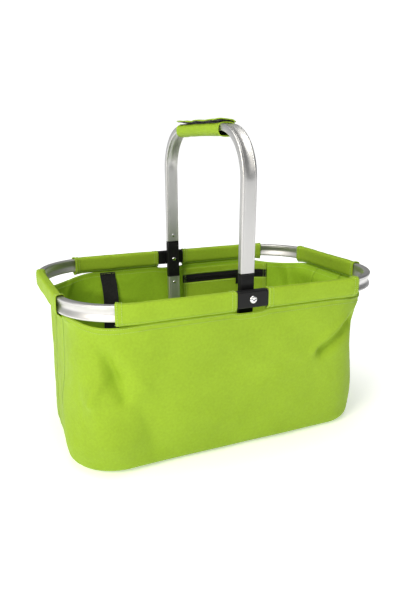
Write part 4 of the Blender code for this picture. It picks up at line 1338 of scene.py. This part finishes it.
sleeve_lines = []
for name, keys in SLEEVES:
    far = key_run(keys)
    whole = far[-1]
    from_ends = [min(f, whole - f) for f in far]
    bm = bmesh.new()
    loft(bm, [sleeve_ring(k, e) for k, e in zip(keys, from_ends)])
    face_out(bm, off_rim)
    sleeve = make_piece(bm, name + "_cloth", lime_canvas, 60.0, solid=False)
    thin_wall(sleeve, SLEEVE_THICK)
    fit(sleeve, "basket", "fabric", name)
    rings = [(e, sleeve_ring(k, e, SLEEVE_PROUD)) for k, e in zip(keys, from_ends)]
    for target in (0.0030, 0.0070):
        for order in (rings, rings[::-1]):
            nearest = min(order[:len(order) // 2], key=lambda pair: abs(pair[0] - target))
            sleeve_lines.append(nearest[1][3:-3])
    for side in (3, -3):
        sleeve_lines.append([pair[1][side] for pair in rings])
sew("sleeve_stitching", sleeve_lines, "basket", lime_thread)

# ------------------------------------------------------------------ zipped pocket
# A flat pocket sewn to the inside of the back wall: a narrow band above its zip, a deep
# panel below it, double stitched at both ends and along the bottom.
ZIP_Z = RIM_Z - 0.0410
zip_x0, zip_x1 = 0.0230, 0.1810


def on_back(x, z, inset):
    """Point inset from the back wall's outside at that x and height."""
    a, b, c = bag_plan(z)
    if x <= a - c:
        key = ("back", x / (a - c))
    else:
        key = ("br", 90 - math.degrees(math.asin(min(1.0, (x - a + c) / c))))
    p, out = outline(key, a, b, c)
    p.z = z
    return p + out * (drape(p) - inset) + leaning(key, p)


def back_out(_):
    return Vector((0, -1, 0))


def pocket_sheet(name, node, z0, z1, inset, slack, nz, finish, role, nx=70):
    """A sheet as wide as the zip on the back wall's inside, puffed out by its slack."""
    rows = []
    for i in range(nx + 1):
        x = zip_x0 + (zip_x1 - zip_x0) * i / nx
        row = []
        for j in range(nz + 1):
            z = z0 + (z1 - z0) * j / nz
            edge = min(i, nx - i, 6) / 6.0
            puff = slack * ease(edge) * (0.6 + 0.6 * soft((x, 0, z), 0.032, 31.0))
            puff *= ease(min(j, nz - j + 3) / 6.0)
            row.append(on_back(x, z, inset + puff))
        rows.append(row)
    return cloth_sheet(name, rows, finish, 0.0006, "basket", [node], role, back_out)


upper = pocket_sheet("pocket_upper_band", "pocket_upper_panel", ZIP_Z + 0.0068, BAG_TOP - 0.0080,
                     0.0021, 0.0003, 8, lime_canvas, "fabric")
lower = pocket_sheet("pocket_lower_bag", "pocket_lower_panel", ZIP_Z - 0.0900, ZIP_Z - 0.0072,
                     0.0021, 0.0016, 40, lime_canvas, "fabric")
across = [zip_x0 + 0.154 * i / 60 + 0.002 for i in range(61)]
upward = [ZIP_Z - 0.088 + 0.104 * i / 50 for i in range(51)]
pocket_lines = []
for drop in (0.0018, 0.0050):
    for x in (zip_x0 + drop, zip_x1 - drop):
        pocket_lines.append([on_back(x, z, 0.0030) for z in upward])
    pocket_lines.append([on_back(x, ZIP_Z - 0.0902 + drop, 0.0030) for x in across])
for off_zip, inset in ((0.0088, 0.0032), (-0.0092, 0.0034)):
    pocket_lines.append([on_back(x, ZIP_Z + off_zip, inset) for x in across])
pocket_rows = sew("pocket_stitching", pocket_lines, "basket", lime_thread)

# ------------------------------------------------------------------ zip
# A black coil zip on black tape. Its slider and puller are the CAD model's own parts, in
# the moulding's black.
zip_tape_cloth = woven_cloth("zip_tape", (0.010, 0.010, 0.011), 0.85, 1.3, 0.0006, 0.0002, 0.75, 0.1)
TAPE_HALF = 0.0085
tape = pocket_sheet("zip_tape_woven", "zipper_tape", ZIP_Z - TAPE_HALF, ZIP_Z + TAPE_HALF, 0.0019, 0.0,
                    6, zip_tape_cloth, "webbing")
COIL_X0, COIL_LONG = 0.0250, 0.154
coil_lines = []
for row, shift in ((0.0009, 0.0), (-0.0009, 0.00065)):
    coil_lines.append([on_back(COIL_X0 + shift + (COIL_LONG - shift) * i / 80, ZIP_Z + row, 0.0032)
                       for i in range(81)])
coil = sew("zip_coil", coil_lines, "basket", black_plastic, 0.0013, 0.0008, 0.0018, "black_plastic")
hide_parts("zipper_chain")
for node in ("zipper_slider", "zipper_puller"):
    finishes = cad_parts[node].data.materials
    finishes.clear()
    finishes.append(black_plastic)

# ------------------------------------------------------------------ closing strap
# Black polypropylene webbing, 24.5 mm wide, sewn to the top of the back wall by a row of
# lime stitches and hanging down inside it. It ties the basket shut when it is folded.
strap_webbing = woven_cloth("strap_webbing", (0.013, 0.013, 0.014), 0.7, 1.6, 0.0016, 0.0004, 0.62,
                            0.15)
STRAP_X0, STRAP_X1, STRAP_TOP, STRAP_LONG = -0.1215, -0.0970, 0.2060, 0.110
rows = []
for i in range(15):
    x = STRAP_X0 + (STRAP_X1 - STRAP_X0) * i / 14
    row = []
    for j in range(61):
        fall = STRAP_LONG * j / 60
        z = STRAP_TOP - fall
        inside = min(on_back(x + off, z, 0.0022).y for off in (-0.006, -0.003, 0.0, 0.003, 0.006))
        hang = 0.0010 * ease(fall / 0.03) + 0.0012 * (1 - math.cos(fall * 60.0)) * ease(fall / 0.02)
        curl = 0.0006 * (2 * i / 14 - 1) ** 2 * ease(fall / 0.02)
        sway = 0.0022 * math.sin(fall * 34.0) * ease(fall / 0.02)
        row.append(Vector((x + sway, inside - hang - curl, z)))
    rows.append(row)
strap = cloth_sheet("closing_strap_webbing", rows, strap_webbing, 0.0013, "closing_strap",
                    ["closing_strap"], "webbing", back_out)
sewn_y, sewn_z = bag_plan(STRAP_TOP)[1] - 0.0036, STRAP_TOP - 0.0016
strap_lines = []
for k in range(5):
    x = STRAP_X0 + 0.0030 + 0.0046 * k
    strap_lines.append([Vector((x, sewn_y, sewn_z)), Vector((x + 0.0030, sewn_y, sewn_z))])
strap_stitches = sew("closing_strap_stitching", strap_lines, "closing_strap", lime_thread,
                     0.0015, 0.0014, 0.0006, "webbing")
